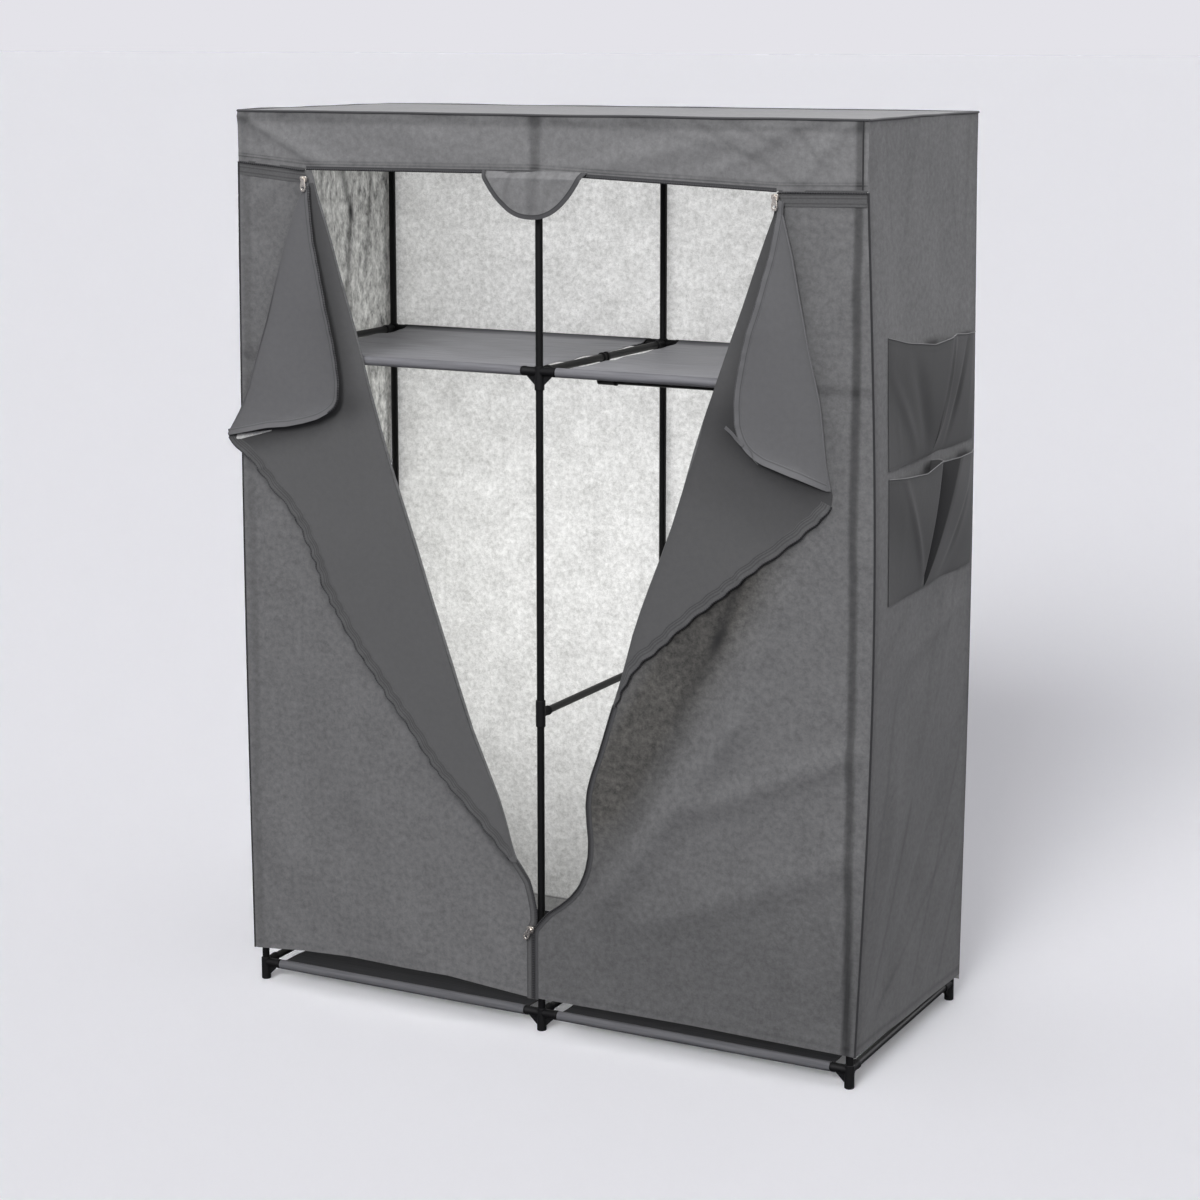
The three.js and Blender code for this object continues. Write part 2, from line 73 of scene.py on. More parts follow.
# Adds a node with its settings; an input is a value, or a socket to link
def addNode(tree, kind, inputs=None, **settings):
    node = tree.nodes.new(kind)
    for key, value in settings.items():
        setattr(node, key, value)
    for socket, value in (inputs or {}).items():
        if isinstance(value, bpy.types.NodeSocket):
            tree.links.new(value, node.inputs[socket])
        else:
            node.inputs[socket].default_value = value
    return node


# An empty material and its Principled shader with these values
def newMaterial(name, **surface):
    material = bpy.data.materials.new(name)
    material.use_nodes = True
    shader = material.node_tree.nodes["Principled BSDF"]
    for socket, value in surface.items():
        shader.inputs[socket.replace("_", " ")].default_value = value
    return material, material.node_tree, shader


def perMetre(millimetres):
    return 1000 / millimetres


# Spunbond polypropylene: filaments laid at random and bonded by heat, so that it is matt and cloudy,
# lighter where it is thin, with a grain too fine to see that is drawn 3 mm wide here
def spunbond(name, dark, light, inner=None, clouds=11.0, grain=3.0, contrast=1.0, rough=0.62):
    material, tree, shader = newMaterial(name, Roughness=0.85, Sheen_Weight=0.12)
    place = addNode(tree, "ShaderNodeUVMap", uv_map="cloth").outputs["UV"]
    web = 0.0
    for size, detail, roughness, distortion, weight in (
            (clouds, 6.0, rough, 0.2, 0.62), (60, 2.0, 0.5, 0.0, 0.18), (grain, 2.0, 0.5, 0.0, 0.2)):
        noise = addNode(tree, "ShaderNodeTexNoise", {
            "Vector": place, "Scale": perMetre(size), "Detail": detail, "Roughness": roughness,
            "Distortion": distortion})
        web = addNode(tree, "ShaderNodeMath", {0: noise.outputs["Fac"], 1: weight, 2: web},
                      operation="MULTIPLY_ADD").outputs[0]
    cloudy, flecked = (
        addNode(tree, "ShaderNodeMapRange", {
            "Value": web, "From Min": least, "From Max": most}).outputs["Result"]
        for least, most in ((0.5 - 0.14 / contrast, 0.5 + 0.14 / contrast), (0.38, 0.64)))
    # Its inner face is painted in paler tones for the light that comes through it. Where one layer has
    # the dark inside behind it, browner and more uneven tones are painted for that shade.
    shade = None
    for mark, spread, tones in ((None, cloudy, (dark, light)), ("inside", cloudy, inner or (dark, light)),
                                ("shadeThrough", flecked, ("#32312f", "#64625e"))):
        tone = addNode(tree, "ShaderNodeMix", {
            "Factor": spread, "A": toLinear(tones[0]), "B": toLinear(tones[1])}, data_type="RGBA")
        if mark:
            where = addNode(tree, "ShaderNodeAttribute", attribute_name=mark).outputs["Fac"]
            tone = addNode(tree, "ShaderNodeMix", {
                "Factor": where, "A": shade, "B": tone.outputs["Result"]}, data_type="RGBA")
        shade = tone.outputs["Result"]
    # Painted shade darkens it where it lies against a tube and in the depth of folds; it is darker at seams
    # too
    shadeAndSeams = addNode(tree, "ShaderNodeAttribute", attribute_name="shadeAndSeams").outputs["Fac"]
    shade = addNode(tree, "ShaderNodeMix", {
        "Factor": shadeAndSeams, "A": shade, "B": toLinear("#121214")}, data_type="RGBA").outputs["Result"]
    tree.links.new(shade, shader.inputs["Base Color"])
    bump = addNode(tree, "ShaderNodeBump", {"Height": web, "Strength": 0.25, "Distance": 0.0015})
    tree.links.new(bump.outputs["Normal"], shader.inputs["Normal"])
    return material


# Coated polyester shelf cloth: plain weave under a thin coat, so that it has a soft shine and faint
# ribs across, drawn 4 mm apart so that they show
def shelfCloth(name):
    material, tree, shader = newMaterial(name, Specular_IOR_Level=0.28)
    place = addNode(tree, "ShaderNodeUVMap", uv_map="cloth").outputs["UV"]
    stretched = addNode(tree, "ShaderNodeMapping", {"Vector": place, "Scale": (3.0, 60.0, 1.0)})
    streak = addNode(tree, "ShaderNodeTexNoise", {
        "Vector": stretched.outputs["Vector"], "Scale": 3.0, "Detail": 3.0})
    rib = addNode(tree, "ShaderNodeTexWave", {
        "Vector": place, "Scale": perMetre(4) / (2 * math.pi), "Distortion": 0.6}, bands_direction="Y")
    spread = addNode(tree, "ShaderNodeMapRange", {
        "Value": streak.outputs["Fac"], "From Min": 0.3, "From Max": 0.7})
    colour = addNode(tree, "ShaderNodeMix", {
        "Factor": spread.outputs["Result"], "A": toLinear("#88888d"), "B": toLinear("#a6a6ab")},
        data_type="RGBA")
    # The mark darkens it with painted shade, and it is duller there
    shadeAndSeams = addNode(tree, "ShaderNodeAttribute", attribute_name="shadeAndSeams").outputs["Fac"]
    shade = addNode(tree, "ShaderNodeMix", {
        "Factor": shadeAndSeams, "A": colour.outputs["Result"], "B": toLinear("#1c1c1f")}, data_type="RGBA")
    tree.links.new(shade.outputs["Result"], shader.inputs["Base Color"])
    dull = addNode(tree, "ShaderNodeMath", {0: shadeAndSeams, 1: 0.5, 2: 0.5},
                   operation="MULTIPLY_ADD", use_clamp=True)
    tree.links.new(dull.outputs[0], shader.inputs["Roughness"])
    bump = addNode(tree, "ShaderNodeBump", {
        "Height": rib.outputs["Fac"], "Strength": 0.2, "Distance": 0.0004})
    tree.links.new(bump.outputs["Normal"], shader.inputs["Normal"])
    return material


# Moulded or coated black surfaces: an even colour with a fine skin that breaks up the highlights
def blackSkin(name, colour, roughness, grain, strength):
    material, tree, shader = newMaterial(
        name, Base_Color=toLinear(colour), Roughness=roughness, Specular_IOR_Level=0.25)
    place = addNode(tree, "ShaderNodeTexCoord").outputs["Object"]
    skin = addNode(tree, "ShaderNodeTexNoise", {"Vector": place, "Scale": perMetre(grain), "Detail": 2.0})
    tone = addNode(tree, "ShaderNodeMapRange", {
        "Value": skin.outputs["Fac"], "To Min": roughness - 0.06, "To Max": roughness + 0.06})
    tree.links.new(tone.outputs["Result"], shader.inputs["Roughness"])
    bump = addNode(tree, "ShaderNodeBump", {
        "Height": skin.outputs["Fac"], "Strength": strength, "Distance": 0.0003})
    tree.links.new(bump.outputs["Normal"], shader.inputs["Normal"])
    return material


# Zinc alloy castings with a pale nickel plate: a bright metal with a slight orange peel
def nickelPlate(name):
    material, tree, shader = newMaterial(
        name, Base_Color=toLinear("#efe8de"), Metallic=1.0, Roughness=0.28)
    place = addNode(tree, "ShaderNodeTexCoord").outputs["Object"]
    peel = addNode(tree, "ShaderNodeTexNoise", {"Vector": place, "Scale": perMetre(2.0), "Detail": 2.0})
    tone = addNode(tree, "ShaderNodeMapRange", {
        "Value": peel.outputs["Fac"], "To Min": 0.22, "To Max": 0.36})
    tree.links.new(tone.outputs["Result"], shader.inputs["Roughness"])
    return material


# Nylon coil teeth: ribs 2 mm apart across the line of the zip, read along the piece's own length
def coilTeeth(name):
    material, tree, shader = newMaterial(name, Roughness=0.45)
    place = addNode(tree, "ShaderNodeUVMap", uv_map="cloth").outputs["UV"]
    rib = addNode(tree, "ShaderNodeTexWave", {
        "Vector": place, "Scale": perMetre(2.2) / (2 * math.pi)}, bands_direction="X")
    colour = addNode(tree, "ShaderNodeMix", {
        "Factor": rib.outputs["Fac"], "A": toLinear("#1d1d1f"), "B": toLinear("#39393b")},
        data_type="RGBA")
    tree.links.new(colour.outputs["Result"], shader.inputs["Base Color"])
    bump = addNode(tree, "ShaderNodeBump", {
        "Height": rib.outputs["Fac"], "Strength": 0.6, "Distance": 0.0006})
    tree.links.new(bump.outputs["Normal"], shader.inputs["Normal"])
    return material


materials = {
    "cover": spunbond("spunbond polypropylene, one layer", "#5e5e5f", "#777778", ("#666664", "#f4f4f0")),
    # The same cloth painted lighter, for the light that comes through the header band
    "header": spunbond("spunbond polypropylene, header painted lighter", "#6c6c6d", "#828283"),
    # Folded flaps, pockets and turned-back corners: the same cloth painted darker for the shade of the layers
    "folded": spunbond("spunbond polypropylene, folded over, painted darker", "#555556", "#5d5d5e", contrast=0.6),
    "turned": spunbond("spunbond polypropylene, turned back, painted darker", "#5e5e60", "#666668", contrast=0.6),
    "binding": spunbond("woven polyester binding", "#424244", "#4b4b4d", clouds=4.0),
    "seam": spunbond("seam in its own shade", "#232325", "#2c2c2e", clouds=4.0),
    "back": spunbond("pale spunbond polypropylene", "#bdbdbb", "#fdfdfc",
                     grain=2.0, contrast=1.1, rough=0.75),
    "tape": spunbond("woven polyester zip tape", "#505051", "#5c5c5d", clouds=4.0),
    "shelf": shelfCloth("coated polyester shelf cloth"),
    "steel": blackSkin("powder-coated steel", "#070708", 0.46, 1.2, 0.1),
    "plastic": blackSkin("moulded polypropylene", "#08080a", 0.6, 1.5, 0.12),
    "teeth": coilTeeth("nylon coil teeth"),
    "nickel": nickelPlate("nickel-plated zinc"),
}
print("materials made")


# Quads between the neighbours on a grid; closed joins the last column to the first
def gridFaces(rows, columns, closed=False):
    across = np.arange(columns if closed else columns - 1)
    first = np.arange(rows - 1)[:, None] * columns + across
    second = np.arange(rows - 1)[:, None] * columns + (across + 1) % columns
    return np.stack([first, second, second + columns, first + columns], -1).reshape(-1, 4)


forward = (0, -1, 0)  # out of the front


def addToScene(name, data):
    obj = bpy.data.objects.new(name, data)
    bpy.context.scene.collection.objects.link(obj)
    return obj


# What a piece moves with, its colour slot, which is not used, and the CAD nodes that it stands for
def dress(obj, body, slot, *nodes):
    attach(obj, body)
    if nodes:
        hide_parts(*nodes)


# Trim rides with what it is sewn to
def sewnTo(body, *pieces):
    for obj in pieces:
        dress(obj, body, "grey_nonwoven")
    return list(pieces)


# Puts millimetre points and their faces into a mesh in metres. uv is in metres per point, and
# marks are named numbers per point for the material.
def makeObject(name, points, faces, material, uv=None, marks=None):
    mesh = bpy.data.meshes.new(name)
    placed = np.asarray(points, float).reshape(-1, 3) / 1000 + origin
    mesh.from_pydata(placed.tolist(), [], [list(map(int, face)) for face in faces])
    if uv is not None:
        corners = np.zeros(len(mesh.loops), np.int32)
        mesh.loops.foreach_get("vertex_index", corners)
        layer = mesh.uv_layers.new(name="cloth")
        layer.data.foreach_set("uv", np.asarray(uv, np.float32).reshape(-1, 2)[corners].ravel())
    for mark, values in (marks or {}).items():
        attribute = mesh.attributes.new(mark, "FLOAT", "POINT")
        attribute.data.foreach_set("value", np.asarray(values, np.float32).ravel())
    mesh.materials.append(material)
    mesh.shade_smooth()
    mesh.set_sharp_from_angle(angle=math.radians(40))
    return addToScene(name, mesh)


# A closed sheet: its outer face is the grid of points, its inner face is the same grid moved back
# by the thickness, and a strip joins their edges. The columns are turned round where they would
# face inward. The inner face may have painted shade of its own on top of the outer face's.
def clothSheet(name, surface, outward, material, uv, shadeAndSeams=None, thickness=0.9, shadeThrough=None, innerShade=0):
    outward = np.broadcast_to(np.array(outward, float), surface.shape)
    shadeAndSeams = np.zeros(surface.shape[:2]) if shadeAndSeams is None else np.broadcast_to(shadeAndSeams, surface.shape[:2])
    shadeThrough = np.zeros(surface.shape[:2]) if shadeThrough is None else shadeThrough
    innerShade = np.broadcast_to(innerShade, surface.shape[:2])
    facing = np.cross(np.gradient(surface, axis=1), np.gradient(surface, axis=0))
    if (facing * outward).sum() < 0:
        surface, outward, uv, shadeAndSeams, shadeThrough, innerShade = (
            grid[:, ::-1] for grid in (surface, outward, uv, shadeAndSeams, shadeThrough, innerShade))
    rows, columns = surface.shape[:2]
    count = rows * columns
    inner = surface - outward * thickness
    faces = gridFaces(rows, columns)
    ids = np.arange(count).reshape(rows, columns)
    ring = np.concatenate([ids[0, :-1], ids[:-1, -1], ids[-1, :0:-1], ids[:0:-1, 0]])
    onward = np.roll(ring, -1)
    edge = np.stack([ring, ring + count, onward + count, onward], -1)
    inside = np.repeat([0.0, 1.0], count)
    inside[ring + count] = 0  # the cut edge has the outer colour
    shade = np.concatenate([shadeAndSeams.ravel(), (shadeAndSeams + innerShade).ravel()])
    marks = {"inside": inside, "shadeAndSeams": np.clip(shade, 0, 1), "shadeThrough": np.tile(shadeThrough.ravel(), 2)}
    return makeObject(
        name, np.concatenate([surface.reshape(-1, 3), inner.reshape(-1, 3)]),
        np.concatenate([faces, faces[:, ::-1] + count, edge]), material,
        np.tile(uv.reshape(-1, 2), (2, 1)), marks)


# Rings with the same count of points, joined to one closed body with flat ends
def throughRings(rings):
    count, sides = rings.shape[:2]
    ends = [list(range(sides))[::-1], list(range((count - 1) * sides, count * sides))]
    return rings.reshape(-1, 3), [*gridFaces(count, sides, True), *ends]


# A turned shape along X, Y or Z: each (distance, radius) of the profile is a ring
def roundBar(axis, profile, at, sides=28):
    k = {"x": 0, "y": 1, "z": 2}[axis]
    profile = np.array(profile, float)
    angle = np.linspace(0, 2 * math.pi, sides, endpoint=False)
    points = np.zeros((len(profile), sides, 3))
    points[..., k] = profile[:, 0, None]
    points[..., (k + 1) % 3] = profile[:, 1, None] * np.cos(angle)
    points[..., (k + 2) % 3] = profile[:, 1, None] * np.sin(angle)
    return throughRings(points + np.array(at, float))


# Several (points, faces) as one
def joinParts(parts):
    points, faces, start = [], [], 0
    for somePoints, someFaces in parts:
        points.append(np.asarray(somePoints, float).reshape(-1, 3))
        faces += [[int(i) + start for i in face] for face in someFaces]
        start += len(points[-1])
    return np.concatenate(points), faces


# Twice the area inside an outline, below nothing where it runs the other way round
def areaRound(outline):
    onward = np.roll(outline, -1, axis=0)
    return np.sum(outline[:, 0] * onward[:, 1] - onward[:, 0] * outline[:, 1])


# A flat piece: an outline in the two other axes, carried from start to end along the axis
def plate(outline, axis, start, end):
    k = {"x": 0, "y": 1, "z": 2}[axis]
    outline = np.array(outline, float)
    rings = np.zeros((2, len(outline), 3))
    rings[0, :, k], rings[1, :, k] = start, end
    rings[..., (k + 1) % 3] = outline[:, 0]
    rings[..., (k + 2) % 3] = outline[:, 1]
    points, faces = throughRings(rings)
    if areaRound(outline) < 0:
        faces = [list(face)[::-1] for face in faces]
    return points, faces


# A thin round cord: a ring of points square to the path at each of its points
def cordAlong(path, radius, sides=6):
    path = np.array(path, float)
    ahead = np.gradient(path, axis=0)
    ahead /= np.linalg.norm(ahead, axis=1)[:, None]
    side = np.cross(ahead, [0.31, -0.9, 0.29])
    side /= np.linalg.norm(side, axis=1)[:, None]
    up = np.cross(ahead, side)
    angle = np.linspace(0, 2 * math.pi, sides, endpoint=False)[None, :, None]
    return throughRings(
        path[:, None] + radius * (np.cos(angle) * side[:, None] + np.sin(angle) * up[:, None]))


# The distance from the path's start to each of its points
def lengthsAlong(path):
    steps = np.linalg.norm(np.diff(path, axis=0), axis=1)
    return np.concatenate([[0], np.cumsum(steps)])


# The same path with a point every step, rounded a little at its corners
def evenly(path, step):
    path = np.array(path, float)
    along = lengthsAlong(path)
    marks = np.linspace(0, along[-1], max(3, int(along[-1] / step)))
    even = np.stack([np.interp(marks, along, path[:, i]) for i in range(path.shape[1])], -1)
    for _ in range(2):
        even[1:-1] = (even[:-2] + 2 * even[1:-1] + even[2:]) / 4
    return even


# Long ridges: each (from, to, width, height) is a bell across its line, fading past its ends
def foldLines(a, b, lines):
    total = np.zeros(np.shape(a))
    for a0, b0, a1, b1, width, height in lines:
        length = math.hypot(a1 - a0, b1 - b0)
        along = ((a - a0) * (a1 - a0) + (b - b0) * (b1 - b0)) / length
        off = ((a - a0) * (b1 - b0) - (b - b0) * (a1 - a0)) / length
        past = np.maximum(np.maximum(-along, along - length), 0)
        total += height * np.exp(-(off / width) ** 2 - (past / (2.5 * width)) ** 2)
    return total


# Gentle unevenness: eight sine waves of about that length, in all directions
def ripple(a, b, seed, size, height):
    chance = np.random.default_rng(seed)
    angle, phase = chance.uniform(0, 2 * math.pi, (2, 8))
    length = size * chance.uniform(0.7, 1.7, 8)
    a, b = np.asarray(a)[..., None], np.asarray(b)[..., None]
    waves = np.sin(2 * math.pi * (a * np.cos(angle) + b * np.sin(angle)) / length + phase)
    return height * waves.sum(-1) / 2.8


def bell(value, middle, width):
    return np.exp(-((value - middle) / width) ** 2)


# The x of an edge, given as (x, z) points in rising order, at each height
def edgeAt(heights, edge):
    table = np.array(edge, float)
    return np.interp(heights, table[:, 1], table[:, 0])


def flatUv(a, b):
    return np.stack(np.broadcast_arrays(a, b), -1) / 1000


# A line in the front's plane moved to its right, seen along it, by that many millimetres
def shifted(path, distance):
    step = np.gradient(path, axis=0)
    step /= np.linalg.norm(step, axis=1)[:, None]
    return path + distance * np.stack([step[:, 1], -step[:, 0]], -1)


# A woven tape between two lines of points, lying just off the cloth, with rows of stitches at
# these distances from its first line
def tapeStrip(name, first, second, material, stitches=(), lift=0.5):
    width = float(np.linalg.norm(second - first, axis=1).mean())
    share = np.linspace(0, 1, max(4, int(width)))[:, None]
    surface = first[:, None] * (1 - share) + second[:, None] * share + np.array(forward) * lift
    across = share[:, 0] * width
    shadeAndSeams = sum((0.55 * bell(across, place, 0.8) for place in stitches), np.zeros(len(across)))
    along = lengthsAlong(first)[:, None]
    return clothSheet(name, surface, forward, materials[material], flatUv(along, across[None]), shadeAndSeams[None],
                      lift * 0.8)


# A closed zip chain or a row of teeth: a flat oval cord whose ribs run across it
def teethAlong(name, path, radius):
    points, faces = cordAlong(path, radius, 8)
    along = np.repeat(lengthsAlong(path), 8)
    return makeObject(name, points, faces, materials["teeth"], flatUv(along, along * 0))


frameLook = {
    "stem": 8.5, "stemRise": 9, "armCollar": 8.4, "arm": 7.7, "armLength": 32, "collarLength": 6,
    "webDrop": 24, "webReach": 26, "webThickness": 3.2, "stemDrop": 32, "edge": 1.0, "lip": 7.6,
    "foot": 4, "seat": 9, "overhang": 8,
    # the middle brace's ends: a sleeve round the upright, and the arm's distances and radii
    "sleeve": 23.5, "braceArm": [(0, 7.7), (22, 7.7), (23, 8.4), (27.5, 8.4), (28, 7.6)],
}


def tubeBar(axis, start, end, at):
    return roundBar(axis, [(start, wardrobe["tube"]), (end, wardrobe["tube"])], at, 32)


# The same turned shape the other way round, with its rings still in rising order
def facing(way, profile):
    return [(way * distance, radius) for distance, radius in profile][::way]


# A moulded connector: a turned stem, turned arms with a collar at the end, and webs
def connectorParts(x, y, level, ways, stemDrop):
    look = frameLook
    stem, edge, arm, collar = look["stem"], look["edge"], look["arm"], look["armCollar"]
    low, high = level - stemDrop, level + look["stemRise"]
    parts = [roundBar("z", [(low, stem - edge), (low + edge, stem), (high - edge, stem), (high, stem - edge)],
                      (x, y, 0))]
    for axis, way in ways:
        reach, inner = look["armLength"], look["armLength"] - look["collarLength"]
        profile = [(0, arm), (inner - 1.5, arm), (inner, collar), (reach - edge / 2, collar),
                   (reach, collar - edge)]
        parts.append(roundBar(axis, facing(way, profile), (x, y, level)))
        if look["webDrop"] < stemDrop:
            here = x if axis == "x" else y
            near, far = here + way * (stem - 1), here + way * look["webReach"]
            foot, top = level - look["webDrop"], level - arm + 1.5
            web = [(near, foot), (far, top), (near, top + 4)]
            half = look["webThickness"] / 2
            if axis == "x":
                parts.append(plate([(b, a) for a, b in web], "y", y - half, y + half))
            else:
                parts.append(plate(web, "x", x - half, x + half))
    return parts


def buildFrame():
    w, h, look = wardrobe, wardrobe["halfWidth"], frameLook
    depth, seat, over = w["depth"], look["seat"], look["overhang"]
    columns, rows = (("left", -h), ("centre", 0), ("right", h)), (("front", 0), ("rear", depth))
    levels = (("base", w["baseLevel"], w["baseLevel"]), ("shelf", w["shelfLevel"], look["stemDrop"]))
    bars = [(f"upright_{row}_{side}", "z", look["foot"], w["topLevel"] - over, (x, y, 0))
            for side, x in columns for row, y in rows]
    for level, height, _ in levels:
        bars += [(f"{level}_depth_tube_{side}", "y", seat, depth - seat, (x, 0, height))
                 for side, x in columns]
        for row, y in rows:
            bars += [(f"{level}_tube_{row}_left", "x", seat - h, -seat, (0, y, height)),
                     (f"{level}_tube_{row}_right", "x", seat, h - seat, (0, y, height))]
    bars += [(f"top_rail_{row}", "x", -h - over, h + over, (0, y, w["topLevel"])) for row, y in rows]
    bars += [(f"top_depth_tube_{side}", "y", seat, depth - seat, (x, 0, w["topLevel"]))
             for side, x in columns[::2]]
    bars.append(("middle_brace", "y", seat, depth - seat, (0, 0, w["braceLevel"])))
    tubes = makeObject("frame_tubes", *joinParts([tubeBar(*bar[1:]) for bar in bars]), materials["steel"])
    dress(tubes, "frame_and_cover", "black_steel", *[bar[0] for bar in bars])

    parts, names = [], []
    for level, height, drop in levels:
        for side, x in columns:
            for row, y in rows:
                ways = [("x", way) for way in (1, -1) if abs(x + way * h) <= h]
                ways.append(("y", 1 if y == 0 else -1))
                parts += connectorParts(x, y, height, ways, drop)
                names.append(f"{level}_connector_{row}_{side}")
    stem, edge, lip, sleeve = look["stem"], look["edge"], look["lip"], look["sleeve"]
    top, foot = w["topLevel"], w["topLevel"] - look["stemDrop"]
    for side, x in columns:
        for row, y in rows:
            parts.append(roundBar("z", [(foot, lip), (foot + edge, stem), (top, stem)], (x, y, 0)))
    middle = w["braceLevel"]
    for way, y in ((1, 0), (-1, depth)):
        parts.append(roundBar("z", [
            (middle - sleeve, lip), (middle - sleeve + edge, stem), (middle + 3, stem),
            (middle + sleeve - edge, stem), (middle + sleeve, lip)], (0, y, 0)))
        parts.append(roundBar("y", facing(way, look["braceArm"]), (0, y, middle)))
    connectors = makeObject("frame_connectors", *joinParts(parts), materials["plastic"])
    dress(connectors, "frame_and_cover", "black_plastic", *names)


railLook = {
    "drop": 41, "ring": 8.9, "width": 20, "slot": 8, "end": 7, "edge": 0.8, "webTop": 7, "webThickness": 6,
    # the socket for the rail: distances along it and radii
    "socket": [(-11, 6.8), (-10, 8.5), (21, 8.5), (22, 9.2), (26, 9.2), (27, 8.4)],
}


# The hanging rail and its hooks: rings on the depth tube, a web, and a socket for the rail
def buildRail():
    h, y, level, look = wardrobe["halfWidth"], wardrobe["depth"] / 2, wardrobe["shelfLevel"], railLook
    low, end = level - look["drop"], look["end"]
    bar = makeObject("hanging_rail_tube", *tubeBar("x", -end, h + end, (0, y, low)), materials["steel"])
    dress(bar, "hanging_rail", "black_steel", "hanging_rail")
    for side, x, way in (("left", 0, 1), ("right", h, -1)):
        half, slot, thick = look["width"] / 2, look["slot"] / 2, look["webThickness"] / 2
        ring, edge, top = look["ring"], look["edge"], level - look["webTop"]
        parts = [roundBar("y", [(a, ring - edge), (a + edge, ring), (b - edge, ring), (b, ring - edge)],
                          (x, y, level)) for a, b in ((-half, -slot), (slot, half))]
        web = [(y - half, low), (y + half, low), (y + half, top), (y - half, top)]
        parts.append(plate(web, "x", x - thick, x + thick))
        parts.append(roundBar("x", facing(way, look["socket"]), (x, y, low)))
        hook = makeObject(f"rail_hook_{side}_moulding", *joinParts(parts), materials["plastic"])
        dress(hook, "hanging_rail", "black_plastic", f"rail_hook_{side}")


buildFrame()
buildRail()
print("frame and rail built")

shelfLook = {"inset": 33.5, "sleeve": 8.6, "sag": 3.0, "drop": 6, "thickness": 1.2, "columns": 60}


# One strip of cloth: round under and over the front tube, across with a little sag, and over
# and under the rear tube. Its section is a line through points, carried along X.
def buildShelf(node, start, end, level, seed):
    look, depth, sleeve = shelfLook, wardrobe["depth"], shelfLook["sleeve"]
    angle = np.linspace(math.radians(-20), math.radians(-270), 30)
    front = sleeve * np.stack([np.cos(angle), np.sin(angle)], -1)
    share = np.linspace(0, 1, 30)[1:-1]
    sag = look["sag"] * np.sin(math.pi * share) ** 0.8
    drop = look["drop"] * np.minimum(1, np.minimum(share, 1 - share) * depth / 16)
    middle = np.stack([share * depth, sleeve - sag - drop], -1)
    rear = np.stack([depth - front[::-1, 0], front[::-1, 1]], -1)
    section = evenly(np.concatenate([front, middle, rear]), 2.0)
    along, y = lengthsAlong(section)[:, None], section[:, :1]
    x = np.linspace(start, end, look["columns"])[None]
    flat = np.clip(np.minimum(y, depth - y) / 60, 0, 1)
    z = level + section[:, 1:] + ripple(x, y * 2.2, seed, 170, 1.1) * flat
    surface = np.stack(np.broadcast_arrays(x, y, z), -1)
    normal = np.cross(np.gradient(surface, axis=1), np.gradient(surface, axis=0))
    normal /= np.linalg.norm(normal, axis=-1)[..., None]
    lower = "lower" in node
    # Painted shade round the rear tube, on the sleeve round the front tube and towards the left end
    shadeAndSeams = 0.8 * bell(y, depth, 14) + (0.62 if lower else 0.42) * (y < 5) \
        + 0.18 * np.clip((-x - 300) / 260, 0, 1) * (y > 5)
    # Painted shade over the lower shelf's top
    if lower:  # little light reaches it between the hem and the doors
        shadeAndSeams = np.maximum(shadeAndSeams, 0.93 * np.clip((y - 4) / 10, 0, 1))
    obj = clothSheet(node.replace("shelf", "shelf_cloth"), surface, normal, materials["shelf"],
                     flatUv(x, along), shadeAndSeams, look["thickness"])
    dress(obj, "frame_and_cover", "shelf_fabric", node)


def buildShelves():
    h, inset = wardrobe["halfWidth"], shelfLook["inset"]
    for name, level in (("lower", wardrobe["baseLevel"]), ("upper", wardrobe["shelfLevel"])):
        buildShelf(f"{name}_shelf_left", inset - h, -inset, level, 3)
        buildShelf(f"{name}_shelf_right", inset, h - inset, level, 5)


buildShelves()
print("shelves built")

# The cover. Its outlines were measured on the photograph, as (x, z) points in rising order.

coverLook = {
    "hemRear": 46, "hemBack": 37, "hemStitch": 13, "bulgeRear": 6, "frontSpan": (62, 1486),
    # the door zip below its slider: its x, its heights, and how high the cloth lies flat beside it
    "zipX": -8, "zipSpan": (64, 186), "zipFlat": 190,
    "headerEdge": [(-597, 1511), (-454, 1499), (0, 1502), (442, 1484), (597, 1487)],
}
leftFold = [
    (-8, 60), (-8, 186), (-1, 199), (-2, 223), (-7, 248), (-14, 273), (-30, 295), (-42, 309), (-50, 330),
    (-63, 374), (-76, 410), (-102, 466), (-127, 520), (-147, 574), (-167, 630), (-189, 692), (-212, 758),
    (-236, 830), (-266, 914), (-290, 983), (-308, 1040), (-328, 1106), (-347, 1177), (-369, 1248),
    (-386, 1300), (-404, 1362), (-418, 1405), (-432, 1445), (-443, 1486)]
leftFlapOuter = [
    (-44, 300), (-74, 330), (-114, 372), (-155, 411), (-196, 450), (-226, 487), (-257, 527), (-295, 571),
    (-330, 617), (-358, 650), (-383, 687), (-411, 730), (-430, 764), (-448, 810), (-471, 857),
    (-497, 895), (-532, 929), (-560, 958), (-576, 978), (-604, 995), (-622, 1010), (-630, 1022),
    (-617, 1042), (-602, 1066), (-584, 1104), (-567, 1156), (-541, 1231), (-519, 1305), (-495, 1379),
    (-474, 1436), (-450, 1478)]
leftCornerRight = [
    (-625, 1020), (-572, 1032), (-534, 1041), (-491, 1046), (-456, 1054), (-426, 1063), (-405, 1074),
    (-390, 1086), (-383, 1100), (-381, 1125), (-383, 1148), (-390, 1193), (-398, 1229), (-411, 1282),
    (-424, 1336), (-435, 1381), (-443, 1435), (-446, 1478)]
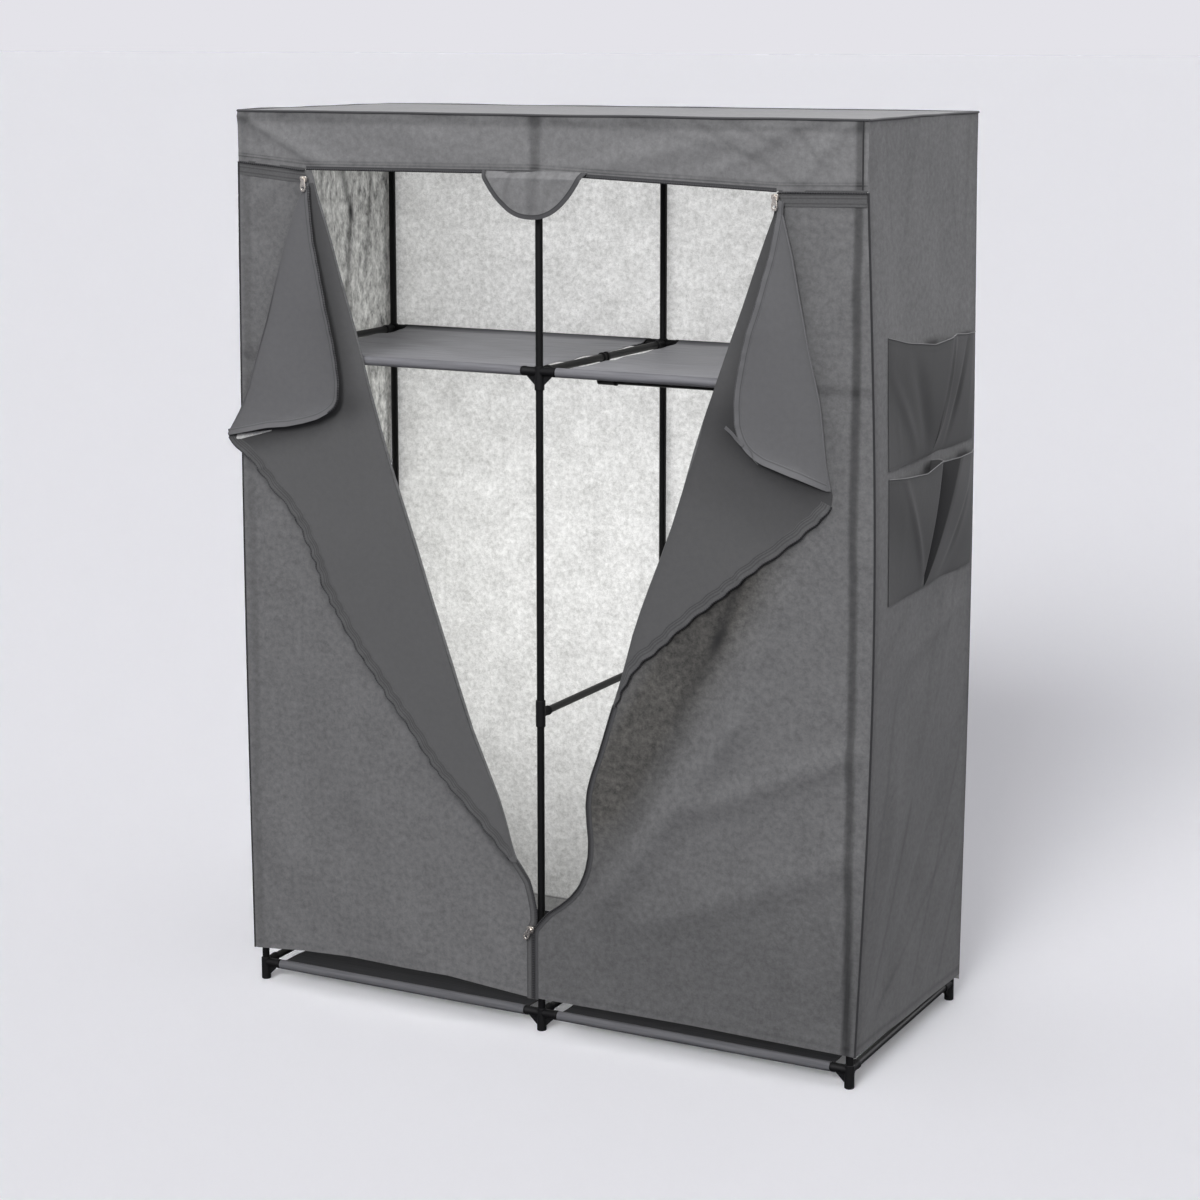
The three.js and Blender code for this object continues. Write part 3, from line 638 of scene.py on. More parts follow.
rightFold = [
    (-8, 60), (-8, 186), (5, 203), (21, 221), (44, 238), (64, 255), (83, 279), (95, 307), (101, 335),
    (102, 365), (99, 393), (97, 427), (100, 453), (107, 480), (118, 510), (131, 552), (143, 592),
    (158, 637), (172, 685), (184, 729), (199, 773), (217, 820), (237, 870), (257, 923), (277, 985),
    (296, 1050), (315, 1108), (336, 1167), (362, 1241), (384, 1301), (404, 1358), (423, 1410),
    (436, 1445), (441, 1478)]
rightFlapOuter = [
    (150, 600), (160, 626), (175, 654), (198, 686), (236, 717), (273, 753), (310, 785), (347, 814),
    (374, 836), (402, 861), (438, 888), (474, 915), (500, 938), (518, 954), (534, 969), (543, 984),
    (545, 1000), (540, 1020), (534, 1050), (529, 1094), (523, 1143), (513, 1185), (502, 1228),
    (493, 1273), (482, 1325), (470, 1385), (457, 1434), (446, 1478)]
rightCornerLeft = [
    (537, 1007), (491, 1025), (456, 1036), (427, 1045), (408, 1056), (395, 1068), (386, 1084), (380, 1102),
    (378, 1134), (380, 1167), (391, 1226), (400, 1262), (413, 1302), (422, 1340), (432, 1378),
    (440, 1420), (444, 1450), (446, 1478)]


# How far a slack corner stands out at each height: nothing at the ends, most in the middle
def bulgeAt(z, amount):
    return amount * np.sin(math.pi * np.clip((z - 50) / 1450, 0, 1)) ** 1.1


def heightsBetween(start, end, step):
    return np.linspace(start, end, max(3, int(abs(end - start) / step)))


# A stripe of even darkness with soft borders
def stripe(value, middle, half):
    return np.exp(-((value - middle) / half) ** 4)


# A hem's row of stitches
def hemStitches(z, hem):
    return 0.3 * bell(z, hem + coverLook["hemStitch"], 1.5)


# Where the front cloth lies against the tubes inside, it lets no light through: painted shade of the tubes
def tubeShadows(x, z):
    h = wardrobe["halfWidth"]
    uprights = 0.18 * stripe(x, -h, 9) + 0.6 * stripe(x, h - 1, 8)
    return uprights + 0.24 * stripe(z, wardrobe["shelfLevel"], 9) * (abs(x) > 300)


# Each front's edges, its bulge at the corner, its painted shadow beside the flap, the tape on its zip edge
# (material, width, up to), its closed header zip (from x to x), its folds, its painted shades and its painted
# shade seen through one layer
frontLook = {
    "left": {
        "sign": -1, "seed": 11, "fold": leftFold, "flap": leftFlapOuter, "bulge": 5, "beside": 0.12,
        "hem": [(-597, 62), (-500, 71), (-390, 76), (-180, 75), (-70, 66), (-8, 61)],
        "tape": ("tape", 13, 312), "headerZip": (-596, -456),
        "folds": [
            (-560, 1440, -470, 1500, 16, -2.5), (-590, 300, -300, 120, 60, -4), (-250, 420, -60, 200, 26, 3),
            (-520, 900, -560, 500, 30, -3), (-400, 500, -300, 200, 50, -3)],
        "shades": [(-52, 300, -112, 366, 9, 0.4), (-112, 366, -160, 405, 7, 0.3)], "shadeThrough": []},
    "right": {
        "sign": 1, "seed": 12, "fold": rightFold, "flap": rightFlapOuter, "bulge": 22, "beside": 0.34,
        "hem": [(-8, 62), (300, 64), (597, 60)], "tape": ("binding", 9, 612), "headerZip": (444, 596),
        "folds": [
            (370, 585, 165, 300, 26, -10), (455, 800, 375, 610, 20, -6), (560, 560, 330, 455, 24, -7),
            (560, 380, 260, 250, 30, -6), (590, 1350, 520, 1250, 26, -5), (560, 1110, 585, 930, 20, -4),
            (330, 700, 250, 560, 11, -4), (285, 600, 190, 420, 9, -3)],
        "shades": [
            (380, 838, 342, 738, 11, 0.5), (342, 738, 272, 612, 13, 0.42), (330, 790, 300, 740, 26, 0.3),
            (262, 560, 190, 462, 18, 0.2), (200, 430, 112, 310, 20, 0.16), (120, 120, 560, 110, 150, 0.24),
            (300, 260, 560, 250, 130, 0.1)],
        "shadeThrough": [(350, 815, 150, 480, 60, 1.3)]},
}


# How the front cloth lies: its folds and a gentle unevenness. Its hollows stay in front of the frame
# and of the slack cloth behind.
def frontY(side, x, z):
    look = frontLook[side]
    folds = foldLines(x, z, look["folds"])
    folds = np.where(folds > 0, 1.9 * np.tanh(folds / 6), folds)
    return wardrobe["coverFront"] + folds + ripple(x, z * 0.5, look["seed"], 240, 1.0)


# Each front runs, at every height, from the corner seam to the fold or the door zip
def buildFronts():
    header = np.array(coverLook["headerEdge"], float)
    lowest, highest = coverLook["frontSpan"]
    level = np.linspace(lowest, highest, 250)
    plane = wardrobe["coverFront"]
    for side, look in frontLook.items():
        sign, hem = look["sign"], np.array(look["hem"], float)
        outer = sign * (wardrobe["coverX"] + bulgeAt(level, look["bulge"]))
        inner = edgeAt(level, look["fold"])
        x = outer[:, None] + (inner - outer)[:, None] * np.linspace(0, 1, 110)
        top = np.interp(x, header[:, 0], header[:, 1]) - 1.5
        bottom = np.interp(x, hem[:, 0], hem[:, 1])
        z = bottom + (level[:, None] - lowest) / (highest - lowest) * (top - bottom)
        nearSeam = np.minimum(np.abs(x - outer[:, None]) / 30, 1) ** 0.5
        y = plane + (frontY(side, x, z) - plane) * nearSeam
        nearZip = np.clip((x * sign + 8) / 20, 0, 1)
        y = np.where(z < coverLook["zipFlat"], plane + (y - plane) * nearZip, y)
        flapEdge = edgeAt(level, look["flap"])[:, None]
        # Painted shadow beside the flap, painted shade of the tubes and in folds, stitches at the hem, and
        # painted shade seen through one layer
        beside = np.exp(-np.maximum(sign * (x - flapEdge), 0) / 24) * stripe(z, 1250, 270)
        shadeAndSeams = tubeShadows(x, z) + hemStitches(z, bottom) + foldLines(x, z, look["shades"]) \
            + look["beside"] * beside
        shadeThrough = np.minimum(foldLines(x, z, look["shadeThrough"]), 0.95)
        surface = np.stack([x, y, z], -1)
        obj = clothSheet(f"front_cloth_{side}", surface, forward, materials["cover"], flatUv(x, z), shadeAndSeams,
                         shadeThrough=shadeThrough)
        dress(obj, "frame_and_cover", "grey_nonwoven", f"front_panel_{side}")
        frontTrims(side, surface)


# The zip tapes and the seam on the edges of a front
def frontTrims(side, surface):
    look, plane = frontLook[side], wardrobe["coverFront"]
    seam = surface[:, 0] + np.array([0, 0.6, 0])
    pieces = [makeObject(f"corner_seam_front_{side}", *cordAlong(seam, 2.0, 10), materials["seam"])]
    material, width, upTo = look["tape"]
    fold = evenly(look["fold"], 5)
    low = fold[fold[:, 1] < upTo]
    lines = [np.stack([line[:, 0], frontY(side, line[:, 0], line[:, 1]), line[:, 1]], -1)
             for line in (shifted(low, 0), shifted(low, look["sign"] * width))]
    flat = np.clip((low[:, 1] - 150) / 60, 0, 1)
    for line in lines:
        line[:, 1] = plane + (line[:, 1] - plane) * flat
    pieces.append(tapeStrip(f"opening_tape_{side}", *lines, material, (1.0, 2.5, 4.0, 11.5), 0.9))
    rim = lines[0] + np.array([0, -1.0, 0])
    above = rim[:, 2] > coverLook["zipSpan"][1]
    pieces.append(teethAlong(f"opening_teeth_{side}", rim[above], 1.5))
    # the header zip's closed stretch, from the slider to the corner seam
    x = np.linspace(*look["headerZip"], 60)
    header = np.array(coverLook["headerEdge"], float)
    top = np.interp(x, header[:, 0], header[:, 1])
    high, low = (np.stack([x, frontY(side, x, top - drop), top - drop], -1) for drop in (-2.5, 24))
    pieces.append(tapeStrip(f"header_zip_tape_{side}", high, low, "tape", (2.5, 8.0, 13.0, 21.5), 1.0))
    pieces.append(teethAlong(f"header_zip_chain_{side}", high + np.array([0, -1.8, -4.5]), 1.3))
    return sewnTo("frame_and_cover", *pieces)


# The closed door zip below its slider: the chain between the two fronts
def buildLowerChain():
    z = np.linspace(*coverLook["zipSpan"], 60)
    path = np.stack([coverLook["zipX"] + 0 * z, wardrobe["coverFront"] - 1.4 + 0 * z, z], -1)
    sewnTo("frame_and_cover", teethAlong("door_zip_chain", path, 2.1))


# The header band's folds and shades, drawn as on the fronts
headerLook = {
    "folds": [
        (-590, 1590, -420, 1510, 14, -3), (-560, 1520, -500, 1590, 12, 2), (-300, 1580, -100, 1520, 30, -2),
        (150, 1520, 420, 1580, 24, -4), (480, 1500, 560, 1590, 14, -4), (330, 1510, 480, 1590, 12, -2.5)],
    "shades": [
        (300, 1590, 470, 1500, 6, 0.18), (180, 1585, 400, 1540, 8, 0.13), (470, 1592, 530, 1515, 6, 0.16),
        (360, 1592, 440, 1560, 5, 0.14), (-592, 1588, -450, 1512, 5, 0.15), (-575, 1592, -535, 1500, 5, 0.12),
        (40, 1590, 210, 1568, 7, 0.1), (-420, 1585, -250, 1540, 9, 0.07), (120, 1510, 260, 1540, 8, 0.09)],
    "tape": 7.0, "open": (-456, 444), "sag": 5,
}


# The header band hangs from the roof's front edge; the roof sags a little between the tubes
def buildRoof():
    header, look, h = np.array(coverLook["headerEdge"], float), headerLook, wardrobe["halfWidth"]
    front, rear, edge, top = (wardrobe[key] for key in ("coverFront", "coverRear", "coverX", "roof"))
    x = np.linspace(-edge, edge, 260)
    share = np.linspace(0, 1, 60)[:, None]
    low = np.interp(x, header[:, 0], header[:, 1])
    z = low + share * (top - 1.5 - low)
    grid = np.broadcast_to(x, z.shape)
    y = front + foldLines(grid, z, look["folds"]) + ripple(grid, z, 21, 150, 0.8)
    y = front + (y - front) * np.clip((1 - share) / 0.1, 0, 1)
    # painted shade in a stripe at the middle, in creases, of the roof tube and of the tubes at the corners,
    # a darker lower edge, and two rows of stitches
    shadeAndSeams = 0.42 * stripe(grid, 0, np.where(z > 1556, 13, 10)) + foldLines(grid, z, look["shades"]) \
        + 0.3 * stripe(z, 1590, 12) + 0.5 * bell(z, low + 9, 1.0) + 0.35 * bell(z, low + 14, 1.0) \
        + 0.12 * stripe(z, low, 15) + 0.2 * stripe(grid, -h, 9) + 0.5 * stripe(grid, h, 8)
    surface = np.stack([grid, y, z], -1)
    band = clothSheet("header_band", surface, forward, materials["header"], flatUv(grid, z), shadeAndSeams)
    dress(band, "frame_and_cover", "grey_nonwoven")
    start, end = look["open"]
    zipEdge = np.stack([x, y[0], low], -1)[(x > start) & (x < end)]
    rise = np.array([0, 0, look["tape"]])
    seam = surface[:, -3] + np.array([0, -0.2, 0])
    trims = [tapeStrip("header_zip_tape", zipEdge - 0.2 * rise, zipEdge + 0.8 * rise, "binding", (5.0,), 1.0),
             teethAlong("header_zip_teeth", zipEdge + np.array([0, -1.2, 0.4]), 1.6),
             makeObject("header_seam", *cordAlong(seam, 1.5, 8), materials["seam"])]
    corner = [(-edge, front, top - 1), (edge, front, top - 1), (edge, rear, top - 1), (-edge, rear, top - 1)]
    for k, name in enumerate(("front", "right", "rear", "left")):
        here, there = np.array(corner[k]), corner[(k + 1) % 4]
        path = here + np.linspace(0, 1, 80)[:, None] * np.subtract(there, here)
        path[:, 2] += ripple(path[:, 0], path[:, 1], 61, 200, 0.5)
        trims.append(makeObject(f"roof_binding_{name}", *cordAlong(path, 2.2, 10), materials["binding"]))
    sewnTo("frame_and_cover", *trims)
    gx, gy = np.meshgrid(np.linspace(-edge, edge, 160), np.linspace(front, rear, 80))
    sag = look["sag"] * np.sin(math.pi * (gx + edge) / (2 * edge)) ** 0.5 \
        * np.sin(math.pi * (gy - front) / (rear - front)) ** 0.5
    roof = clothSheet("roof_cloth", np.stack([gx, gy, top - sag], -1), (0, 0, 1), materials["header"],
                      flatUv(gx, gy), 0.15 * bell(gy, 0, 9))
    dress(roof, "frame_and_cover", "grey_nonwoven", "roof_and_header")


sideLook = {
    "lines": [
        (30, 1560, 60, 1250, 26, 2), (120, 1300, 140, 1560, 34, -1.5), (300, 1560, 260, 1280, 34, 1.5),
        (430, 1500, 400, 1250, 30, -2), (60, 560, 440, 900, 34, -4), (40, 300, 330, 640, 28, 5),
        (120, 160, 470, 560, 26, -5), (300, 120, 480, 330, 20, 5), (30, 150, 120, 480, 26, 4),
        (200, 700, 470, 760, 20, 3)],
    "leftFolds": [
        (40, 1500, 60, 900, 13, 3), (100, 1580, 88, 1180, 11, -3), (165, 1520, 190, 1120, 16, 5),
        (235, 1580, 225, 1200, 13, -4), (320, 1500, 300, 900, 20, 4), (60, 1080, 84, 640, 12, -3),
        (400, 1580, 420, 1250, 16, -4), (150, 1000, 130, 500, 20, 4)],
    "shades": [
        (60, 150, 200, 430, 5, 0.22), (90, 110, 420, 330, 6, 0.17), (250, 110, 450, 480, 5, 0.17),
        (30, 330, 120, 640, 7, 0.16), (300, 600, 450, 860, 8, 0.13), (380, 90, 470, 250, 5, 0.2),
        (170, 380, 330, 760, 9, 0.1), (60, 1580, 90, 1400, 6, 0.12), (200, 1590, 150, 1420, 8, 0.12),
        (330, 1590, 380, 1420, 7, 0.12), (450, 1590, 430, 1380, 6, 0.14), (20, 700, 140, 780, 8, 0.1)],
    # painted shade for the pockets' dark insides, on the side behind their mouths: middle and half width
    # along the side, then up it
    "mouths": [((266, 34), (1219, 9)), ((262, 30), (1011, 9)), ((440, 30), (1216, 8)),
               ((430, 30), (1009, 8))],
    # painted shade in the creases of the left side's inner face
    "leftCreases": [
        (70, 1560, 110, 1380, 6, 0.4), (110, 1380, 95, 1250, 5, 0.35), (150, 1560, 200, 1430, 7, 0.4),
        (200, 1430, 175, 1240, 6, 0.45), (255, 1540, 235, 1330, 5, 0.3), (300, 1560, 350, 1400, 8, 0.4),
        (350, 1400, 330, 1190, 7, 0.4), (420, 1500, 400, 1300, 6, 0.35), (120, 1230, 240, 1190, 9, 0.25),
        (300, 1130, 420, 1010, 8, 0.3), (180, 1100, 230, 930, 7, 0.3), (60, 1180, 80, 1000, 9, 0.3),
        (400, 1150, 440, 950, 7, 0.3)],
}


# How far the right side stands out: its bulge is largest at the front seam
def sideX(y, z):
    front, rear = wardrobe["coverFront"], wardrobe["coverRear"]
    share = np.clip((y - front) / (rear - front), 0, 1)
    bulge = bulgeAt(z, frontLook["right"]["bulge"]) * (1 - share) ** 1.6 \
        + bulgeAt(z, coverLook["bulgeRear"]) * share
    return wardrobe["coverX"] + bulge + foldLines(y, z, sideLook["lines"]) * np.sin(math.pi * share) ** 0.5


def buildSidesAndBack():
    front, rear, edge = wardrobe["coverFront"], wardrobe["coverRear"], wardrobe["coverX"]
    top, hemRear, hemBack = wardrobe["roof"] - 1, coverLook["hemRear"], coverLook["hemBack"]
    y, share = np.meshgrid(np.linspace(front, rear, 110), np.linspace(0, 1, 230))
    hem = np.interp(y, [front, rear], [60, hemRear])
    z = hem + share * (top - hem)
    x = sideX(y, z) + ripple(y, z * 0.6, 31, 180, 1.2) * np.sin(math.pi * (y - front) / (rear - front))
    # Painted shade of the tubes at the front and rear, in creases and towards the bottom; stitches at the hem
    # and a dark line at the rear edge
    shadeAndSeams = 0.1 * stripe(y, 0, 9) + 0.1 * stripe(y, wardrobe["depth"], 9) + hemStitches(z, hem) \
        + 0.45 * bell(y, rear, 5) + foldLines(y, z, sideLook["shades"]) \
        + 0.17 * np.clip((1250 - z) / 200, 0, 1) + 0.22 * np.clip((1000 - z) / 600, 0, 1)
    # Painted shade behind the pockets' mouths, on the outer face only
    mouths = sum(0.95 * stripe(y, *across) * stripe(z, *up) for across, up in sideLook["mouths"])
    right = clothSheet("side_cloth_right", np.stack([x, y, z], -1), (1, 0, 0), materials["cover"],
                       flatUv(y, z), shadeAndSeams + mouths, innerShade=-mouths)
    back = y[:, ::-1]
    slack = np.sin(math.pi * (back - front) / (rear - front)) ** 0.5
    x = -edge - bulgeAt(z, 4) * np.sin(math.pi * share) \
        - slack * (ripple(back, z * 0.35, 32, 150, 2.0) + foldLines(back, z, sideLook["leftFolds"]))
    hem = np.interp(back, [front, rear], [62, hemRear])
    z = hem + share * (top - hem)
    # Its inner face has painted shade in its creases
    left = clothSheet("side_cloth_left", np.stack([x, back, z], -1), (-1, 0, 0), materials["cover"],
                      flatUv(back, z * 0.45), hemStitches(z, hem),
                      innerShade=1.5 * foldLines(back, z, sideLook["leftCreases"]))
    x, share = np.meshgrid(np.linspace(edge, -edge, 160), np.linspace(0, 1, 200) ** 1.5)
    z = hemBack + share * (top - hemBack)
    y = rear + ripple(x, z * 0.4, 33, 260, 2.0) * np.sin(math.pi * (x + edge) / (2 * edge))
    # A dark line along its hem and darker cloth below it: its hem seam with painted shade
    rearCloth = clothSheet("back_cloth", np.stack([x, y, z], -1), (0, 1, 0), materials["back"], flatUv(x, z),
                           0.9 * bell(z, 65, 2.5) + 0.5 * (z < 63))
    for obj, node, flat, colour in ((right, "side_panel_right", (0.51, 1.55), "grey_nonwoven"),
                                    (left, "side_panel_left", (0.51, 1.55), "grey_nonwoven"),
                                    (rearCloth, "back_panel", (1.2, 1.55), "pale_nonwoven")):
        dress(obj, "frame_and_cover", colour, node)


pocketLook = {"front": 54, "width": 210, "foot": 811, "step": 222, "gap": 1.7, "sewn": (0, 210, 0)}
# A pocket's mouth is its section there, from the front edge to the rear one: how far along its width,
# how far off the side, and the height over its foot. It is sewn down flat at its foot, and what
# stands off grows from there. sewn is where it starts and ends at its foot, and the share of its
# section that comes to a point there.
pocketForms = {
    "lower_front": {
        "sewn": (0, 181, 0), "folds": [(150, 30, 60, 200, 10, 3)],
        "mouth": [(0, 0, 209), (0.3, 9, 203), (0.7, 17, 199), (1.0, 24, 213), (1.02, 12, 214),
                  (1.0, 0, 212)]},
    "lower_rear": {
        "sewn": (-29, 210, 0.387), "folds": [(60, 20, 150, 120, 12, -3)],
        "mouth": [(0, 0, 205), (0.1, 9, 205), (0.38, 27, 208), (0.42, 28, 209), (0.75, 19, 205),
                  (1.0, 3, 202)]},
    "upper_front": {
        "folds": [(5, 160, 120, 20, 13, 4), (120, 130, 170, 20, 20, -4), (40, 60, 55, 15, 8, 2)],
        "mouth": [(0, 0, 217), (0.35, 10, 202), (0.8, 22, 191), (1.1, 29, 196), (1.14, 29, 197)]},
    "upper_rear": {
        "folds": [(60, 190, 10, 30, 9, 4), (140, 170, 60, 10, 10, -4)],
        "mouth": [(0.15, 28, 197), (0.3, 22, 198), (0.6, 18, 192), (0.85, 12, 189), (1.0, 4, 187)]},
}


# A pocket is a sheet sewn to the side at its foot and edges: its section runs through the mouth's
# points, and each height shows a share of it
def buildPockets():
    look, width = pocketLook, pocketLook["width"]
    for name, form in pocketForms.items():
        y0 = look["front"] + (width if "rear" in name else 0)
        z0 = look["foot"] + (look["step"] if "upper" in name else 0)
        table = np.array(form["mouth"], float)
        walk = lengthsAlong(np.stack([table[:, 0] * width, table[:, 1]], -1))
        line = evenly(np.column_stack([np.interp(np.linspace(0, walk[-1], 120), walk, table[:, k])
                                       for k in range(3)]) * [width, 1, 1], 3.0)
        share, along = np.linspace(0, 1, 56)[:, None], np.linspace(0, 1, len(line))
        start, end, point = form.get("sewn", look["sewn"])
        even = start + (end - start) * np.clip((along - point) / (1 - point), 0, 1)
        y = y0 + even * (1 - share) + line[:, 0] * share
        z = z0 + line[:, 2] * share
        folds = foldLines(y - y0, z - z0, form["folds"]) * (share * (1 - share)) ** 0.5 * 2
        off = line[:, 1] * np.sin(math.pi / 2 * share) ** 0.8
        x = sideX(y, z) + look["gap"] + off + folds * np.minimum(off / 12, 1)
        # Stitches under the lip and at the foot; painted shade all over, across the pocket and in the deep
        # fold between the lower pockets
        shadeAndSeams = 0.35 * bell(z, z0 + line[:, 2] - 9, 1.1) + 0.25 * bell(z, z0 + 5, 1.5) + 0.5 \
            + 0.2 * foldLines(y - y0, z - z0, [(20, 150, 170, 60, 50, 1)]) \
            + 1.0 * (along < point) * (share > 0.01)  # the deep fold between the lower pockets
        surface = np.stack([x, y, z], -1)
        obj = clothSheet(f"pocket_{name}", surface, (1, 0, 0), materials["folded"], flatUv(y, z), shadeAndSeams)
        dress(obj, "frame_and_cover", "grey_nonwoven", *(["side_pockets"] if name == "lower_front" else []))
        lip = surface[-1] + np.array([0.2, 0, 0.3])
        piping = makeObject(f"pocket_piping_{name}", *cordAlong(lip, 0.9), materials["header"])
        sewnTo("frame_and_cover", piping)


buildFronts()
buildLowerChain()
buildRoof()
buildSidesAndBack()
buildPockets()
print("cover built")

# Doors: each flap is folded back over the front at its slanting line, and its corner is turned
# back again over the flap
doorLook = {
    "roll": 7, "rows": 5, "pucker": 2.0, "puckerStep": 38,
    "flap": {"base": 1.2, "rise": 2.3, "flare": 1.6, "flareReach": 40},
    "corner": {"base": 5.2, "rise": 3.2, "flare": 14, "flareReach": 45},
    "rollFrom": -15.6, "rollTo": -20.6,
    # a pale strip painted for the backlit inner face under the left tip, from line to line, and the right
    # corner's loop and thread
    "litInnerFace": (((-617, 1021), (-534, 1035)), ((-609, 1012), (-535, 1033))),
    "loop": [(396, 1074), (386, 1082), (376, 1092), (362, 1101)],
    "thread": [(404, 1070), (411, 1063), (413, 1054), (422, 1044)],
}
# Each layer's fold and free edge, the heights it spans, and the CAD node that it stands for
doorLayers = {
    "flap_left": {"fold": leftFold, "free": leftFlapOuter, "span": (304, 1476), "seed": 41,
                  "tapeTop": 1018, "node": "door_left_flap", "flat": (0.34, 1.27), "on": "front_cloth_left",
                  "shades": [(-384, 1150, -440, 1430, 26, 0.42), (-392, 1080, -600, 1008, 26, 0.4)]},
    "corner_left": {"fold": leftFlapOuter, "free": leftCornerRight, "span": (1013, 1476), "seed": 43,
                    "node": "door_left_corner", "flat": (0.24, 0.51), "on": "door_flap_left"},
    "flap_right": {"fold": rightFold, "free": rightFlapOuter, "span": (604, 1474), "seed": 45,
                   "tapeTop": 985, "node": "door_right_flap", "flat": (0.27, 0.93), "on": "front_cloth_right",
                   "shades": [(330, 900, 420, 1400, 190, 0.07), (376, 1150, 440, 1430, 30, 0.3),
                              (392, 1080, 545, 1000, 50, 0.45), (330, 1010, 500, 950, 60, 0.22)]},
    "corner_right": {"fold": rightFlapOuter, "free": rightCornerLeft, "span": (1007, 1474), "seed": 47,
                     "node": "door_right_corner", "flat": (0.21, 0.49), "on": "door_flap_right",
                     "shades": [(440, 1060, 440, 1400, 130, 0.06)]},
}


# How a folded layer lies: it leaves its fold in a small roll, flares out towards its free edge,
# and puckers along the zip tape
def layerY(name, x, z):
    layer = doorLayers[name]
    look = doorLook["flap" if "flap" in name else "corner"]
    fromFold = np.abs(x - edgeAt(z, layer["fold"]))
    fromFree = np.abs(x - edgeAt(z, layer["free"]))
    if "corner" in name:
        fromFree = np.minimum(fromFree, np.abs(z - layer["span"][0]) * 1.6)
    rise = look["rise"] * (1 - np.exp(-fromFold / doorLook["roll"]))
    flare = look["flare"] * np.exp(-fromFree / look["flareReach"]) * np.clip(fromFold / 60, 0, 1)
    flare = flare * np.clip((layer["span"][1] - z) / 220, 0, 1)
    zipped = np.clip((layer.get("tapeTop", 2000) - z) / 25, 0, 1)  # above this height a flap's edge is a fold
    flare = flare * zipped
    wave = np.sin(2 * math.pi * z / doorLook["puckerStep"] + ripple(0 * z, z, layer["seed"], 90, 1.5))
    pucker = doorLook["pucker"] * np.maximum(wave, -0.3) * np.exp(-fromFree / 9) * zipped
    if "corner" in name:
        pucker = pucker * 0.4
    y = wardrobe["coverFront"] - look["base"] - rise - flare - pucker
    return y + ripple(x, z, layer["seed"] + 1, 210, 0.7)


# How far the zip edge of a flap runs in and out in small scallops, where the tape gathers it
def scallop(layer, z):
    zipped = np.clip((layer.get("tapeTop", 0) - z) / 25, 0, 1)
    return 1.8 * np.sin(2 * math.pi * z / 27 + ripple(0 * z, z, layer["seed"] + 5, 80, 1.2)) * zipped


# A line on a layer, from its x and z
def onLayer(name, path):
    return np.stack([path[:, 0], layerY(name, path[:, 0], path[:, 1]), path[:, 1]], -1)


# The sheet's placement is baked into its mesh
def blendAcross(obj):
    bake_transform(obj)


def moveWithLayer(name, obj):
    side = name.split("_")[1]
    if "flap" in name:
        blendAcross(obj)
    else:
        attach(obj, f"door_{side}_corner")


def buildDoors():
    for name, layer in doorLayers.items():
        low, high = layer["span"]
        z = np.concatenate([heightsBetween(low, low + 90, 2.5),
                            heightsBetween(low + 94, high, doorLook["rows"])])
        fold = edgeAt(z, layer["fold"])
        free = edgeAt(z, layer["free"])
        sign = 1 if fold.mean() > free.mean() else -1
        gap = np.maximum((fold - free) * sign + scallop(layer, z), 1.5)
        x = fold[:, None] - sign * gap[:, None] * np.linspace(0, 1, 64)
        grid = np.broadcast_to(z[:, None], x.shape)
        material = "folded" if "flap" in name else "turned"
        # Painted shade along the fold and the layer's own painted shades
        shadeAndSeams = 0.16 * np.exp(-np.abs(x - fold[:, None]) / 9) + foldLines(x, grid, layer.get("shades", []))
        obj = clothSheet(f"door_{name}", np.stack([x, layerY(name, x, grid), grid], -1), forward,
                         materials[material], flatUv(x, grid), shadeAndSeams)
        moveWithLayer(name, obj)
        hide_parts(layer["node"])
        layerTrims(name)


# A line kept from passing the layer's fold, where fold and free edge meet at the foot
def withinFold(layer, path, inward):
    fold = edgeAt(path[:, 1], layer["fold"]) - inward * 1.5
    return np.stack([np.minimum(path[:, 0] * inward, fold * inward) * inward, path[:, 1]], -1)


# The fold between a flap and its corner: half round, from the flap's edge to the corner's.
def foldRoll(name, layer):
    side = name.split("_")[1]
    path = evenly(layer["fold"], 4)
    path = path[(path[:, 1] > layer["span"][0]) & (path[:, 1] < layer["span"][1])]
    turn = np.linspace(0, math.pi, 13)
    start, end = doorLook["rollFrom"], doorLook["rollTo"]
    outward = -1 if side == "left" else 1
    surface = np.zeros((len(path), len(turn), 3))
    surface[..., 0] = path[:, 0, None] + outward * (1.8 * np.sin(turn) - 1.2)
    surface[..., 1] = start + (end - start) * (1 - np.cos(turn)) / 2
    surface[..., 2] = path[:, 1, None]
    obj = clothSheet(f"{name}_roll", surface, (outward, 0, 0), materials["turned"],
                     flatUv(surface[..., 1], surface[..., 2]), thickness=0.5)
    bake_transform(obj)
    return obj


